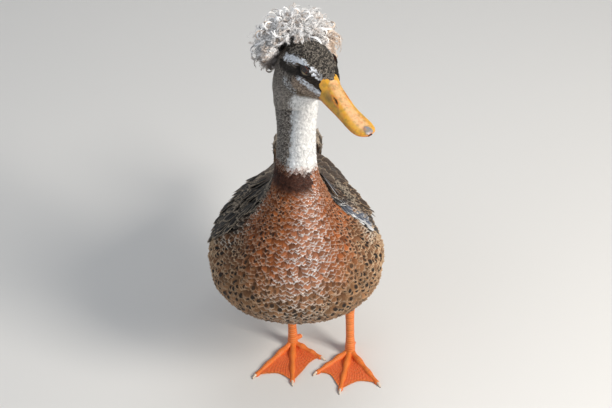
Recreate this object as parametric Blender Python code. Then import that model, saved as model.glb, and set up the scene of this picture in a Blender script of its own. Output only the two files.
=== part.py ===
"""A crested domestic duck standing with its head turned to its left, at life size.

The body faces -Y with its midplane near x = 0, its left side towards +X, and it stands on z = 0.
Lengths below are in millimetres and become metres through MM. A side point is (forward, height).
"""
import math
import random

import bpy
import bmesh
from mathutils import Matrix, Vector

MM = 0.001
GAP = 0.3

# Body and neck as ribs from the top of the neck back to the tail's tip. Each rib is a flat slice:
# its point on the back, its point on the belly, its half-width and how far up its widest place is.
RIBS = [
    ((7, 335), (50, 335), 21.0, 0.50),
    ((9, 302), (53, 300), 18.2, 0.50),
    ((9, 272), (61, 266), 19.5, 0.48),
    ((3, 248), (73, 242), 24.5, 0.44),
    ((-11, 227), (88, 217), 36.0, 0.41),
    ((-30, 210), (100, 187), 53.5, 0.38),
    ((-51, 194), (104, 153), 71.0, 0.37),
    ((-72, 180), (92, 119), 82.0, 0.38),
    ((-90, 168), (61, 88), 80.0, 0.40),
    ((-106, 159), (20, 73), 71.0, 0.43),
    ((-119, 152), (-28, 75), 60.0, 0.46),
    ((-130, 148), (-68, 87), 47.0, 0.48),
    ((-139, 146), (-102, 100), 35.0, 0.50),
    ((-147, 143), (-126, 110), 26.5, 0.52),
    ((-176, 139), (-172, 126), 22.0, 0.52),
    ((-202, 142), (-200, 136), 24.0, 0.50),
    ((-224, 146), (-223, 144), 23.0, 0.50),
]
NECK_TOP, NECK_BASE, TAIL_BASE, TAIL_TIP = 0, 3, 13, 16
RIB_SIDES = 28
HEAD_TURN = math.radians(42)
BODY_TURN, BODY_SHIFT = math.radians(6), -1.0
FORWARD, RAISED = 10.0, 7.0
NECK_AXIS = 29.0

# Head in its own side plane, turned by HEAD_TURN about the neck's axis: distance in front of that
# axis and height. Each rib runs from the nape or crown to the throat.
HEAD_RIBS = [
    ((-22, 335.3), (21, 335.3), 21.0, 0.50),
    ((-24, 350), (25, 343), 21.2, 0.50),
    ((-20, 367), (31, 348.5), 20.8, 0.52),
    ((-13, 383), (36, 352), 20.8, 0.54),
    ((2, 397), (40, 353.6), 20.0, 0.56),
    ((18, 402.5), (43.5, 354.6), 18.6, 0.58),
    ((32, 400.5), (46, 355.2), 17.2, 0.58),
    ((43, 392.5), (48.2, 355.4), 14.4, 0.56),
    ((53.5, 381), (49.8, 355.4), 10.8, 0.50),
]
HEAD_SIDES = 24
FEATHER_WEDGE = 8.0
EYE_AT = (34.8, 386.5)
EYE_SPREAD = 11.6
EYE_RADIUS = 6.0
LID_LONG, LID_HIGH, LID_ROLL = 5.6, 4.2, 1.2

# Bill from its base on the mouth line: at each share of its length, the half-width and height of the
# upper half and the half-width and depth of the lower one.
BILL_BASE = (51.0, 362.0)
BILL_DIP = math.radians(12)
BILL_LENGTH = 60.0
BILL_ROOT = 5.0
BILL_SHARES = [0.0, 0.14, 0.30, 0.48, 0.66, 0.80, 0.90, 0.96]
UPPER_HALF = [10.6, 10.4, 9.9, 10.0, 10.9, 11.2, 10.0, 7.4]
UPPER_HIGH = [19.3, 15.8, 12.2, 9.2, 7.2, 6.0, 5.2, 4.4]
LOWER_HALF = [9.6, 9.2, 8.7, 8.9, 9.6, 9.7, 8.4, 5.6]
LOWER_DEEP = [5.1, 5.0, 4.6, 4.0, 3.4, 2.9, 2.3, 1.6]
NOSTRIL_AT, NOSTRIL_SIZE, NOSTRIL_SLOPE = (19.5, 7.2, 10.2), (3.6, 3.0, 1.5), 0.28

# The folded wing over the body's side: from rib to rib, its edges in degrees up from the belly, and
# how far it clears the tail for each rib past the rump.
WING_FRONT, WING_END = 4.6, 14.4
WING_LOW, WING_LOW_END, WING_HIGH = 98.0, 140.0, 176.0
WING_CLEAR, WING_CLEAR_FROM = 4.0, 12.3
WING_UNDER, WING_CORE, WING_CORE_END = 0.9, 4.6, 0.60
HUNCH = {"left": 12.0, "right": 0.0}
# Half a vane's thickness, the lift of the lowest tier and how far each vane has risen to its own tier's.
VANE = 0.4
LOWEST = 2.9
WING_RISES = [0.0, 0.25, 0.85, 1.0, 1.0]
# Each tier of a wing from the lowest up: how many feathers, where the roots and tips of the first and
# the last lie (shares along and across the wing), half-width, lifts of first and last, and roll.
WING_TIERS = {
    "primary": (6, (0.50, 0.32), (0.44, 0.66), (1.00, 0.42), (0.80, 0.84), 5.0, (2.9, 5.6), 20),
    "secondary": (6, (0.36, 0.10), (0.36, 0.46), (0.63, 0.02), (0.69, 0.44), 6.5, (5.2, 8.2), 9),
    "tertial": (4, (0.38, 0.54), (0.34, 0.76), (0.72, 0.50), (0.86, 0.66), 7.5, (8.6, 10.6), 8),
    "greater_covert": (6, (0.25, 0.10), (0.25, 0.80), (0.45, 0.05), (0.48, 0.74), 8.0, (6.6, 9.0), 7),
    "median_covert": (6, (0.12, 0.16), (0.12, 0.84), (0.31, 0.08), (0.33, 0.76), 9.0, (6.8, 8.6), 7),
    "scapular": (5, (0.12, 0.74), (0.24, 0.90), (0.36, 0.66), (0.58, 0.88), 8.5, (9.4, 11.4), 7),
}
# A vane's shape at its stations: share of its length and of its half-width.
VANE_STATIONS = [(0.0, 0.36), (0.30, 0.76), (0.60, 1.0), (0.86, 0.82), (1.0, 0.25)]
CREST_STATIONS = [(0.0, 0.22), (0.30, 0.46), (0.60, 0.88), (0.86, 0.94), (1.0, 0.30)]

# Tail: feathers to each side beside the two middle ones, their spread at root and tip and their drop.
TAIL_PAIRS = 6
TAIL_CORE_END = 14.6
TAIL_ROOT, TAIL_ROOT_STEP = 2.0, 1.9
TAIL_SPREAD, TAIL_STEP = 5.6, 3.4
TAIL_DROP, TAIL_FIRST_DROP = 1.2, 1.9
TAIL_HALF = 5.2
STEERING_ROOT = 13.5
# Coverts over and under the tail's base: their places across it, their root and tip ribs and half-widths.
UPPER_COVERTS, UPPER_COVERT_RIBS, UPPER_COVERT_HALF = (-13.0, -6.5, 0.0, 6.5, 13.0), (13.25, 14.75), 5.4
LOWER_COVERTS, LOWER_COVERT_RIBS, LOWER_COVERT_HALF = (-8.0, 0.0, 8.0), (13.4, 15.0), 5.6

# Crest: centre and outer radii (forward, left, up) in the head's axes, the share of them that the core
# takes, the plane in front of which it doesn't grow, and rings of feathers with the degrees from its
# pole to their tips.
CREST_AT = (-8.0, 5.0, 387.0)
CREST_RADII = (36.0, 48.0, 31.0)
CREST_CORE = 0.48
CREST_TILT = math.radians(22)
CREST_FRONT = ((18.0, 402.0), (-12.0, 355.0))
CREST_RINGS = [(3, 10), (7, 34), (11, 58), (14, 82), (14, 104), (11, 120)]
CREST_HALF = 7.0

# Feet: the heel of each, in x and forward distance, and each toe's length and the way it points, in
# degrees from straight ahead towards the left. The right foot carries the weight, under the body.
HEELS = {"left": (53.0, 4.0), "right": (-10.0, -3.3)}
TOES = {
    "left": [(56.0, -41.0), (68.0, -5.0), (64.0, 35.0)],
    "right": [(45.0, 58.0), (68.0, 6.0), (71.0, -31.0)],
}
HALLUX_TURN = {"left": 165.0, "right": 140.0}
HALLUX, HALLUX_LOW, HALLUX_RISE, HALLUX_RADII = 15.0, 2.0, 6.6, (3.0, 1.9)
HOCKS = {"left": (51.0, -3.0, 65.0), "right": (-13.0, -9.0, 62.0)}
HIPS = {"left": (42.0, -12.0, 108.0), "right": (-24.0, -16.0, 108.0)}
# Thigh: its radius at each distance up from the hock, and at the hip. Shank: its radius at each distance
# down from the hock, then near the ankle and on it, and its shape across and from front to back.
THIGH, HIP_RADIUS, THIGH_SIDES = [(16.0, 12.0), (6.0, 8.5), (0.0, 6.2)], 13.0, 14
HOCK, SHANK, SHANK_LOW, SHANK_END = [(GAP, 6.0), (4.0, 6.3)], [(12.0, 5.0), (24.0, 4.2)], (10.0, 4.3), 5.2
SHANK_ACROSS, SHANK_DEEP, SHANK_SIDES = 0.82, 1.12, 12
# Ankle: (height, radius, how far forward its middle lies) from the top down.
ANKLE = [(12.0, 5.2, 0.0), (8.0, 5.4, 0.0), (3.5, 5.6, 1.5), (0.0, 4.6, 2.0)]
ANKLE_HIGH = ANKLE[0][0]
TOE_WIDE, TOE_HIGH, TOE_STEPS, JOINT_SWELL = (4.6, 2.4), (8.0, 3.4), 9, 0.10
CLAW_BACK, SMALL_CLAW_BACK = 5.5, 3.0
WEB_LOW, WEB_HIGH = 0.6, 1.9
WEB_START, WEB_BACK, WEB_HOLLOW = 4.0, 8.0, 11.0


def spline(values, t):
    """A smooth curve through evenly spaced values."""
    last = len(values) - 1
    i = min(max(int(math.floor(t)), 0), last - 1)
    f = t - i
    before, start, end, after = (values[min(max(k, 0), last)] for k in (i - 1, i, i + 1, i + 2))
    if i == 0:
        before = 2 * start - end
    if i == last - 1:
        after = 2 * end - start
    slope_in, slope_out = (end - before) / 2, (after - start) / 2
    return (
        start * (2 * f**3 - 3 * f**2 + 1)
        + slope_in * (f**3 - 2 * f**2 + f)
        + end * (3 * f**2 - 2 * f**3)
        + slope_out * (f**3 - f**2)
    )


def mix(one, two, share):
    return one + (two - one) * share


def rib_point(ribs, u, angle):
    """A point of a ribbed surface, (sideways, forward, height): angle 0 is the belly, pi the back."""
    top = [spline([r[0][k] for r in ribs], u) for k in (0, 1)]
    low = [spline([r[1][k] for r in ribs], u) for k in (0, 1)]
    wide = spline([r[2] for r in ribs], u)
    rise = spline([r[3] for r in ribs], u)
    along = (1 - math.cos(angle)) / 2 + (rise - 0.5) * math.sin(angle) ** 2
    return wide * math.sin(angle), mix(low[0], top[0], along), mix(low[1], top[1], along)


def turn_of_neck(u):
    """How far the neck has turned with the head at rib u."""
    share = min(max(1 - u / NECK_BASE, 0), 1)
    return HEAD_TURN * share * share * (3 - 2 * share)


def body(u, angle, lift=0.0):
    """A point on the body's coat, lifted off it."""

    def bare(u, angle):
        side, forward, height = rib_point(RIBS, u, angle - turn_of_neck(u))
        share = min(max((u - 1) / 4, 0), 1) ** 2
        turn = BODY_TURN * share
        reach = forward - NECK_AXIS
        return Vector((
            side * math.cos(turn) + reach * math.sin(turn) + BODY_SHIFT * share,
            side * math.sin(turn) - reach * math.cos(turn) - NECK_AXIS - FORWARD,
            height + RAISED,
        ))

    point = bare(u, angle)
    if lift:
        along = bare(min(u + 0.02, TAIL_TIP), angle) - bare(max(u - 0.02, 0), angle)
        around = bare(u, angle + 0.02) - bare(u, angle - 0.02)
        point += along.cross(around).normalized() * lift
    return point


def head(point):
    """A point of the head's own frame (in front of the neck's axis, to the left, height) in the body's."""
    forward, left, height = point
    cos, sin = math.cos(HEAD_TURN), math.sin(HEAD_TURN)
    return Vector((
        forward * sin + left * cos,
        left * sin - forward * cos - NECK_AXIS - FORWARD,
        height + RAISED,
    ))


def head_way(way):
    """A direction of the head's own frame in the body's."""
    return head(way) - head((0, 0, 0))


def bill(point):
    """A point of the bill's frame (along the mouth line from the gape, left, up) in the body's."""
    along, left, up = point
    cos, sin = math.cos(BILL_DIP), math.sin(BILL_DIP)
    return head((BILL_BASE[0] + along * cos + up * sin, left, BILL_BASE[1] - along * sin + up * cos))


def finish(name, colour, roughness):
    made = bpy.data.materials.new(name)
    made.use_nodes = True
    shader = made.node_tree.nodes["Principled BSDF"]
    shader.inputs["Base Color"].default_value = (*colour, 1)
    shader.inputs["Roughness"].default_value = roughness
    shader.inputs["Metallic"].default_value = 0
    made.diffuse_color = (*colour, 1)
    return made


def solid(name, points, faces, made, smooth=40):
    """One closed mesh object from points in millimetres."""
    mesh = bpy.data.meshes.new(name)
    mesh.from_pydata([Vector(p) * MM for p in points], [], faces)
    work = bmesh.new()
    work.from_mesh(mesh)
    bmesh.ops.recalc_face_normals(work, faces=work.faces)
    work.to_mesh(mesh)
    work.free()
    mesh.materials.append(made)
    mesh.shade_smooth()
    mesh.set_sharp_from_angle(angle=math.radians(smooth))
    thing = bpy.data.objects.new(name, mesh)
    bpy.context.scene.collection.objects.link(thing)
    return thing


def tube_faces(rings, sides):
    """Quads between rings of points, with each end closed by a fan to one more point after the rings."""
    faces = []
    for k in range(rings - 1):
        for j in range(sides):
            n = (j + 1) % sides
            faces.append((k * sides + j, k * sides + n, (k + 1) * sides + n, (k + 1) * sides + j))
    first, last = rings * sides, rings * sides + 1
    for j in range(sides):
        n = (j + 1) % sides
        faces.append((first, n, j))
        faces.append((last, (rings - 1) * sides + j, (rings - 1) * sides + n))
    return faces


def loft(name, rings, made, ends=(None, None), smooth=40):
    """A closed skin over rings of points. Each end has its own point, given or else its ring's middle."""
    middles = [
        end if end is not None else sum(ring, Vector()) / len(ring)
        for end, ring in zip(ends, (rings[0], rings[-1]))
    ]
    points = [p for ring in rings for p in ring] + middles
    return solid(name, points, tube_faces(len(rings), len(rings[0])), made, smooth)


def plate(name, under, over, made):
    """A closed thin sheet between two like grids of points, split into triangles alike on both faces."""
    rows, wide = len(under), len(under[0])
    base = rows * wide
    faces = []
    for k in range(rows - 1):
        for j in range(wide - 1):
            a, b = k * wide + j, k * wide + j + 1
            c, d = b + wide, a + wide
            faces += [(a, b, c), (a, c, d), (base + c, base + b, base + a), (base + d, base + c, base + a)]
    rim = [k * wide for k in range(rows)] + [(rows - 1) * wide + j for j in range(1, wide)]
    rim += [k * wide + wide - 1 for k in range(rows - 2, -1, -1)] + list(range(wide - 2, 0, -1))
    for a, b in zip(rim, rim[1:] + rim[:1]):
        faces.append((a, b, base + b, base + a))
    return solid(name, [p for grid in (under, over) for row in grid for p in row], faces, made)


def fuse(base, pieces, solver="EXACT"):
    """Joins closed pieces to base in one Boolean union, and keeps the largest closed surface."""
    group = bpy.data.collections.new(base.name + "_pieces")
    bpy.context.scene.collection.children.link(group)
    for piece in pieces:
        bpy.context.scene.collection.objects.unlink(piece)
        group.objects.link(piece)
    join = base.modifiers.new("join", "BOOLEAN")
    join.operation = "UNION"
    join.operand_type = "COLLECTION"
    join.collection = group
    join.solver = solver
    apply_all(base)
    for piece in pieces:
        bpy.data.objects.remove(piece)
    bpy.data.collections.remove(group)
    keep_largest(base)
    return base


def cut(base, cutter, solver="EXACT"):
    """Takes the cutter's space away from base."""
    take = base.modifiers.new("take", "BOOLEAN")
    take.operation = "DIFFERENCE"
    take.object = cutter
    take.solver = solver
    apply_all(base)
    bpy.data.objects.remove(cutter)
    keep_largest(base)
    return base


def apply_all(thing):
    graph = bpy.context.evaluated_depsgraph_get()
    made = bpy.data.meshes.new_from_object(thing.evaluated_get(graph), depsgraph=graph)
    thing.modifiers.clear()
    thing.data = made


def keep_largest(thing):
    """Keeps the closed surface with the largest box, which fills sealed hollows and drops loose scraps."""
    work = bmesh.new()
    work.from_mesh(thing.data)
    bmesh.ops.dissolve_degenerate(work, dist=1e-6, edges=work.edges)
    work.faces.ensure_lookup_table()
    left = set(work.faces)
    parts = []
    while left:
        stack = [left.pop()]
        part = list(stack)
        while stack:
            for edge in stack.pop().edges:
                for near in edge.link_faces:
                    if near in left:
                        left.remove(near)
                        stack.append(near)
                        part.append(near)
        parts.append(part)

    def reach(part):
        spots = [v.co for f in part for v in f.verts]
        return sum(max(s[k] for s in spots) - min(s[k] for s in spots) for k in range(3))

    parts.sort(key=reach)
    for part in parts[:-1]:
        bmesh.ops.delete(work, geom=part, context="FACES")
    loose = [v for v in work.verts if not v.link_faces]
    bmesh.ops.delete(work, geom=loose, context="VERTS")
    work.to_mesh(thing.data)
    work.free()


def swollen(thing, by):
    """A copy of a solid grown by a clearance, for cutting its neighbour."""
    work = bmesh.new()
    work.from_mesh(thing.data)
    bmesh.ops.triangulate(work, faces=work.faces)
    work.normal_update()
    moved = [(v, v.co + v.normal * by * MM) for v in work.verts]
    for vert, place in moved:
        vert.co = place
    mesh = bpy.data.meshes.new(thing.name + "_grown")
    work.to_mesh(mesh)
    work.free()
    grown = bpy.data.objects.new(mesh.name, mesh)
    bpy.context.scene.collection.objects.link(grown)
    return grown


def ball(name, centre, radii, made, sides=16, rows=10, axes=None):
    """An ellipsoid of quads."""
    axes = axes or (Vector((1, 0, 0)), Vector((0, 1, 0)), Vector((0, 0, 1)))
    rings = []
    for k in range(1, rows):
        up = math.pi * k / rows
        rings.append([
            centre
            + axes[0] * (radii[0] * math.sin(up) * math.cos(math.tau * j / sides))
            + axes[1] * (radii[1] * math.sin(up) * math.sin(math.tau * j / sides))
            + axes[2] * (radii[2] * math.cos(up))
            for j in range(sides)
        ])
    ends = (centre + axes[2] * radii[2], centre - axes[2] * radii[2])
    return loft(name, rings, made, ends)


def vane(name, spots, normals, half, made, roll=0.0, sideways=None, stations=VANE_STATIONS):
    """One feather as a thin curved vane along spots, rolled about its length."""
    under, over = [], []
    for k, (share, wide) in enumerate(stations):
        ahead = spots[min(k + 1, len(spots) - 1)] - spots[max(k - 1, 0)]
        edge = normals[k].cross(ahead).normalized()
        if sideways and edge.dot(sideways[k]) < 0:
            edge = -edge
        flat = ahead.normalized()
        turn = Matrix.Rotation(roll if flat.cross(edge).dot(normals[k]) < 0 else -roll, 3, flat)
        edge = turn @ edge
        normal = turn @ normals[k]
        normal = (normal - flat * normal.dot(flat)).normalized()
        thick = VANE if k < len(stations) - 1 else VANE * 0.6
        pair = [spots[k] + edge * (half * wide * place) for place in (-1, 1)]
        under.append([spot - normal * thick for spot in pair])
        over.append([spot + normal * thick for spot in pair])
    return plate(name, under, over, made)


def body_rings(first, last, per_rib, shift=0.0):
    """Rings of the body's coat from one rib to another; shift moves the first ring back by a gap."""
    count = round((last - first) * per_rib)
    rings = []
    for k in range(count + 1):
        u = mix(first, last, k / count)
        rings.append([body(u, math.tau * j / RIB_SIDES) for j in range(RIB_SIDES)])
    if shift:
        a, b, c = (rings[0][j] for j in (0, RIB_SIDES // 4, RIB_SIDES // 2))
        off = (b - a).cross(c - a).normalized()
        off *= -shift if off.dot(rings[1][0] + rings[1][RIB_SIDES // 2] - a - c) < 0 else shift
        rings[0] = [p + off for p in rings[0]]
    return rings


def make_torso(made):
    return loft("torso", body_rings(NECK_BASE, TAIL_BASE, 2), made)


def make_neck(made):
    rings = body_rings(NECK_TOP, NECK_BASE, 2)
    a, b, c = (rings[-1][j] for j in (0, RIB_SIDES // 4, RIB_SIDES // 2))
    off = (b - a).cross(c - a).normalized()
    if off.dot(rings[-2][0] - a) < 0:
        off = -off
    rings[-1] = [p + off * GAP for p in rings[-1]]
    return loft("neck", rings, made)


def tail_point(u, side, drop):
    """A point beside and below the tail's upper midline."""
    across = Vector((math.cos(BODY_TURN), math.sin(BODY_TURN), 0))
    return body(u, math.pi) + across * side - Vector((0, 0, drop))


def tail_feather(name, root, tip, half, made):
    """A tail feather between two places, each (rib, sideways, drop)."""
    spots = [tail_point(*(mix(a, b, share) for a, b in zip(root, tip))) for share, _ in VANE_STATIONS]
    return vane(name, spots, [Vector((0, 0, 1))] * len(spots), half, made)


def make_tail(made):
    """A short core under the coverts with the steering feathers fanned from it like a low roof."""
    core = loft("tail", body_rings(TAIL_BASE, TAIL_CORE_END, 2, GAP), made)
    seeded = random.Random(7)
    feathers = [
        tail_feather("middle_1", (STEERING_ROOT, 1.2, 2.2), (TAIL_TIP, 0.8, 0.6), TAIL_HALF, made),
        tail_feather("middle_2", (STEERING_ROOT, -1.2, 3.6), (TAIL_TIP - 0.04, -1.6, 1.9), TAIL_HALF, made),
    ]
    for side in (1, -1):
        for k in range(TAIL_PAIRS):
            drop = TAIL_FIRST_DROP + TAIL_DROP * (k + 1)
            root = (STEERING_ROOT, side * (TAIL_ROOT + TAIL_ROOT_STEP * k), drop + 1.4)
            long = TAIL_TIP - 0.05 - 0.022 * k * k + seeded.uniform(-0.04, 0.04)
            tip = (long, side * (TAIL_SPREAD + TAIL_STEP * k), drop)
            feathers.append(tail_feather(f"steering_{side}_{k}", root, tip, TAIL_HALF, made))
    first, last = UPPER_COVERT_RIBS
    for k, side in enumerate(UPPER_COVERTS):
        drop = 0.02 * side * side
        tip = (last - 0.02 * abs(side), side * 0.95, drop - 1.3 - 0.5 * (k % 2))
        feathers.append(tail_feather(f"upper_{k}", (first, side, drop + 1.6), tip, UPPER_COVERT_HALF, made))
    first, last = LOWER_COVERT_RIBS
    for k, side in enumerate(LOWER_COVERTS):
        tip = (last, side * 0.9, 11.4 + 1.2 * (k % 2))
        feathers.append(tail_feather(f"lower_{k}", (first, side, 16.0), tip, LOWER_COVERT_HALF, made))
    return fuse(core, feathers)


def limb(name, stations, ends, shape, sides, made):
    """An oval limb through (centre, radius) stations; ends are the ways its end faces look, along it."""
    rings = []
    for k, (centre, radius) in enumerate(stations):
        ahead = stations[min(k + 1, len(stations) - 1)][0] - stations[max(k - 1, 0)][0]
        normal = ends[0] if k == 0 else ends[1] if k == len(stations) - 1 else ahead.normalized()
        across = normal.cross(Vector((0, 1, 0))).normalized()
        front = across.cross(normal)
        spins = [math.tau * j / sides for j in range(sides)]
        rings.append([
            centre + across * (radius * shape[0] * math.cos(a)) + front * (radius * shape[1] * math.sin(a))
            for a in spins
        ])
    return loft(name, rings, made)


def hip_and_hock(side):
    hip, hock = Vector(HIPS[side]), Vector(HOCKS[side])
    hip.y, hock.y = -hip.y, -hock.y
    return hip, hock, (hock - hip).normalized()


def make_thigh(side, torso, made):
    """The feathered thigh below the belly, cut clear of the torso that it comes out of."""
    hip, hock, way = hip_and_hock(side)
    stations = [(hip, HIP_RADIUS)] + [(hock - way * far, radius) for far, radius in THIGH]
    thigh = limb("thigh_" + side, stations, (way, way), (1.0, 1.0), THIGH_SIDES, made)
    return cut(thigh, swollen(torso, GAP))


def make_leg(side, made):
    """The hock and the bare shank, from the feathered thigh down to the foot."""
    _, hock, way = hip_and_hock(side)
    heel = Vector((HEELS[side][0], -HEELS[side][1], ANKLE_HIGH))
    down = (heel - hock).normalized()
    stations = [(hock + way * far, radius) for far, radius in HOCK]
    stations += [(hock + down * far, radius) for far, radius in SHANK]
    stations += [(heel - down * SHANK_LOW[0], SHANK_LOW[1]), (heel + Vector((0, 0, GAP)), SHANK_END)]
    ends, shape = (way, Vector((0, 0, -1))), (SHANK_ACROSS, SHANK_DEEP)
    return limb("leg_" + side, stations, ends, shape, SHANK_SIDES, made)


def toe_rings(start, way, length):
    """A toe lying on the floor: flat soled, arched above, swollen at its joints."""
    across = Vector((-way.y, way.x, 0))
    rings = []
    for k in range(TOE_STEPS + 1):
        share = k / TOE_STEPS
        joint = 1 + JOINT_SWELL * math.cos(share * math.tau * 3)
        if k == TOE_STEPS:
            joint *= 0.8
        wide = mix(*TOE_WIDE, share) * joint
        high = mix(*TOE_HIGH, share) * joint
        centre = start + way * (length - CLAW_BACK) * share
        ring = [centre + across * wide * 0.7]
        for arc in range(0, 181, 36):
            angle = math.radians(arc)
            up = Vector((0, 0, high * (0.3 + 0.7 * math.sin(angle))))
            ring.append(centre + across * wide * math.cos(angle) + up)
        ring.append(centre - across * wide * 0.7)
        rings.append(ring)
    return rings


def make_foot(side, made):
    """Three toes with webs between them, a small hind toe and the ankle, all one skin."""
    heel = Vector((HEELS[side][0], -HEELS[side][1], 0))
    tips, toes = [], []
    for length, turn in TOES[side]:
        way = Vector((math.sin(math.radians(turn)), -math.cos(math.radians(turn)), 0))
        tips.append((heel, way, length))
        toes.append(loft("toe_" + side, toe_rings(heel, way, length), made))
    back = math.radians(HALLUX_TURN[side])
    way = Vector((math.sin(back), -math.cos(back), 0))
    toes.append(loft("hallux_" + side, hallux_rings(heel, way), made))
    webs = [web(f"web_{side}_{k}", tips[k], tips[k + 1], made) for k in (0, 1)]
    return fuse(ankle(side, heel, made), toes + webs), tips + [(heel, way, HALLUX)]


def ankle(side, heel, made):
    """The foot's upright root, level above and below."""
    spins = [math.tau * j / SHANK_SIDES for j in range(SHANK_SIDES)]
    rings = [
        [heel + Vector((radius * math.cos(a), radius * math.sin(a) - forward, height)) for a in spins]
        for height, radius, forward in ANKLE
    ]
    return loft("foot_" + side, rings, made)


def hallux_rings(heel, way):
    """The small hind toe, which comes off the shank and reaches down to the floor."""
    across = Vector((-way.y, way.x, 0))
    rings = []
    for k in range(5):
        share = k / 4
        up = Vector((0, 0, HALLUX_LOW + HALLUX_RISE * (1 - share) ** 1.5))
        centre = heel + way * (HALLUX - SMALL_CLAW_BACK) * share + up
        rings.append(round_ring(centre, across, mix(*HALLUX_RADII, share)))
    return rings


def round_ring(centre, across, radius):
    """An upright ring of eight points that stays above the floor."""
    return [
        centre + across * radius * math.cos(math.tau * j / 8)
        + Vector((0, 0, max(radius * math.sin(math.tau * j / 8), -centre.z)))
        for j in range(8)
    ]


def web(name, one, two, made):
    """A thin sheet between two toes, its free edge a shallow hollow curve."""
    (heel, way_a, long_a), (_, way_b, long_b) = one, two
    rows = []
    steps = 6
    for k in range(steps + 1):
        share = k / steps
        way = way_a.lerp(way_b, share).normalized()
        reach = mix(long_a, long_b, share) - WEB_BACK - WEB_HOLLOW * math.sin(math.pi * share)
        rows.append([heel + way * WEB_START, heel + way * reach * 0.55, heel + way * reach])
    sheets = [[[p + Vector((0, 0, level)) for p in row] for row in rows] for level in (WEB_LOW, WEB_HIGH)]
    return plate(name, sheets[0], sheets[1], made)


def make_claw(name, heel, way, length, made):
    """A short blunt claw that carries a toe on, bent down to the floor."""
    small = length <= HALLUX
    across = Vector((-way.y, way.x, 0))
    toe_end = length - (SMALL_CLAW_BACK if small else CLAW_BACK) + GAP
    thick, long = (1.0, 3.9) if small else (1.45, 5.6)
    rings = []
    for k in range(5):
        share = k / 4
        centre = heel + way * (toe_end + long * share) + Vector((0, 0, thick * 1.15 * (1 - share) + 0.5))
        rings.append(round_ring(centre, across, thick * (1 - 0.75 * share)))
    return loft(name, rings, made)


def hunch(side, s, q):
    """How much higher the wing stands near the shoulder blades."""
    return HUNCH[side] * math.exp(-((s - 0.42) / 0.22) ** 2 - ((q - 0.85) / 0.24) ** 2)


def wing_point(side, s, q, lift):
    """A point over the folded wing: s from the shoulder to the tip, q from the lower edge to the back."""
    u = mix(WING_FRONT, WING_END, s)
    low = math.radians(mix(WING_LOW, WING_LOW_END, s**1.4))
    high = math.radians(WING_HIGH)
    middle = mix(low, high, 0.55)
    narrow = 0.25 + 0.75 * (1 - (1 - min(s / 0.16, 1)) ** 2)
    angle = middle + (mix(low, high, q) - middle) * narrow
    lift += WING_CLEAR * max(u - WING_CLEAR_FROM, 0)
    return body(u, angle if side == "left" else -angle, lift)


def core_top(side, s, q):
    """The upper face of the wing's core: thickest under the coverts, thin at its edges."""
    lens = math.sin(math.pi * min(max(q, 0.0), 1.0)) ** 0.6
    front = min(s / 0.14, 1.0) ** 0.5
    back = min(max((WING_CORE_END - s) / 0.28, 0.0), 1.0)
    return WING_UNDER + 1.0 + (WING_CORE + hunch(side, s, q) * 0.8) * lens * (0.3 + 0.7 * front) * back


def wing_feather(side, name, root, tip, half, levels, roll, made):
    """A wing feather whose root is sunk in the core and whose free part lies at its tier's level."""
    spots, normals, sideways = [], [], []
    for (share, _), rise in zip(VANE_STATIONS, WING_RISES):
        s, q = mix(root[0], tip[0], share), mix(root[1], tip[1], share)
        free = mix(LOWEST, levels[0], rise) + levels[1] + hunch(side, s, q)
        sunk = WING_UNDER + 0.5 * (core_top(side, *root) - WING_UNDER)
        lift = sunk if share == 0 else free
        spots.append(wing_point(side, s, q, lift))
        normals.append((wing_point(side, s, q, lift + 1) - wing_point(side, s, q, lift)).normalized())
        sideways.append(wing_point(side, s, q + 0.02, lift) - wing_point(side, s, q, lift))
    return vane(name, spots, normals, half, made, math.radians(roll), sideways)


def make_wing(side, made):
    """The folded wing: a thin core under the coverts, and its feathers in tiers over one another."""
    long_steps, wide_steps = 10, 6
    under, over = [], []
    for k in range(long_steps + 1):
        s = WING_CORE_END * k / long_steps
        shares = [j / wide_steps for j in range(wide_steps + 1)]
        under.append([wing_point(side, s, q, WING_UNDER) for q in shares])
        over.append([wing_point(side, s, q, core_top(side, s, q)) for q in shares])
    core = plate("wing_" + side, under, over, made)
    seeded = random.Random(3 if side == "left" else 4)
    feathers = []
    for tier, (count, root_a, root_b, tip_a, tip_b, half, levels, roll) in WING_TIERS.items():
        for k in range(count):
            share = k / (count - 1)
            root = [mix(a, b, share) for a, b in zip(root_a, root_b)]
            tip = [mix(a, b, share) for a, b in zip(tip_a, tip_b)]
            tip[0] += seeded.uniform(-0.012, 0.008)
            size = half * seeded.uniform(0.94, 1.05)
            level = (levels[0], (levels[1] - levels[0]) * share)
            turn = roll + seeded.uniform(-0.8, 0.8)
            feathers.append(wing_feather(side, f"{tier}_{k}", root, tip, size, level, turn, made))
    return fuse(core, feathers)


def head_ring(u, wedge=0.0, along=0.0):
    bill_way = bill((1, 0, 0)) - bill((0, 0, 0))
    ring = []
    for j in range(HEAD_SIDES):
        angle = math.tau * j / HEAD_SIDES
        side, forward, height = rib_point(HEAD_RIBS, u, angle)
        ring.append(head((forward, side, height)) + bill_way * (wedge * base_outline(angle) + along))
    return ring


def base_outline(angle):
    """How far the feathers reach on to the bill: a point on top, a notch each side of it."""
    from_top = abs(math.degrees(angle) - 180)
    if from_top < 30:
        return 1 - 1.25 * (from_top / 30)
    if from_top < 90:
        return -0.25 + 0.25 * (from_top - 30) / 60
    return 0.0


def make_head(made):
    """Skull, cheeks and throat in one skin, with sockets for the eyes and lids round them."""
    last = len(HEAD_RIBS) - 1
    count = last * 2
    rings = [head_ring(last * k / count) for k in range(count)]
    rings.append(head_ring(last, FEATHER_WEDGE, -GAP))
    skull = loft("head", rings, made, (None, bill((-2.0, 0, 7.0))))
    fuse(skull, [lid_ring("lid_" + name, left, made) for name, left in (("left", 1), ("right", -1))])
    for left in (1, -1):
        cut(skull, ball("socket", eye_centre(left), [EYE_RADIUS + GAP] * 3, made, 14, 9))
    return skull


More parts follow.
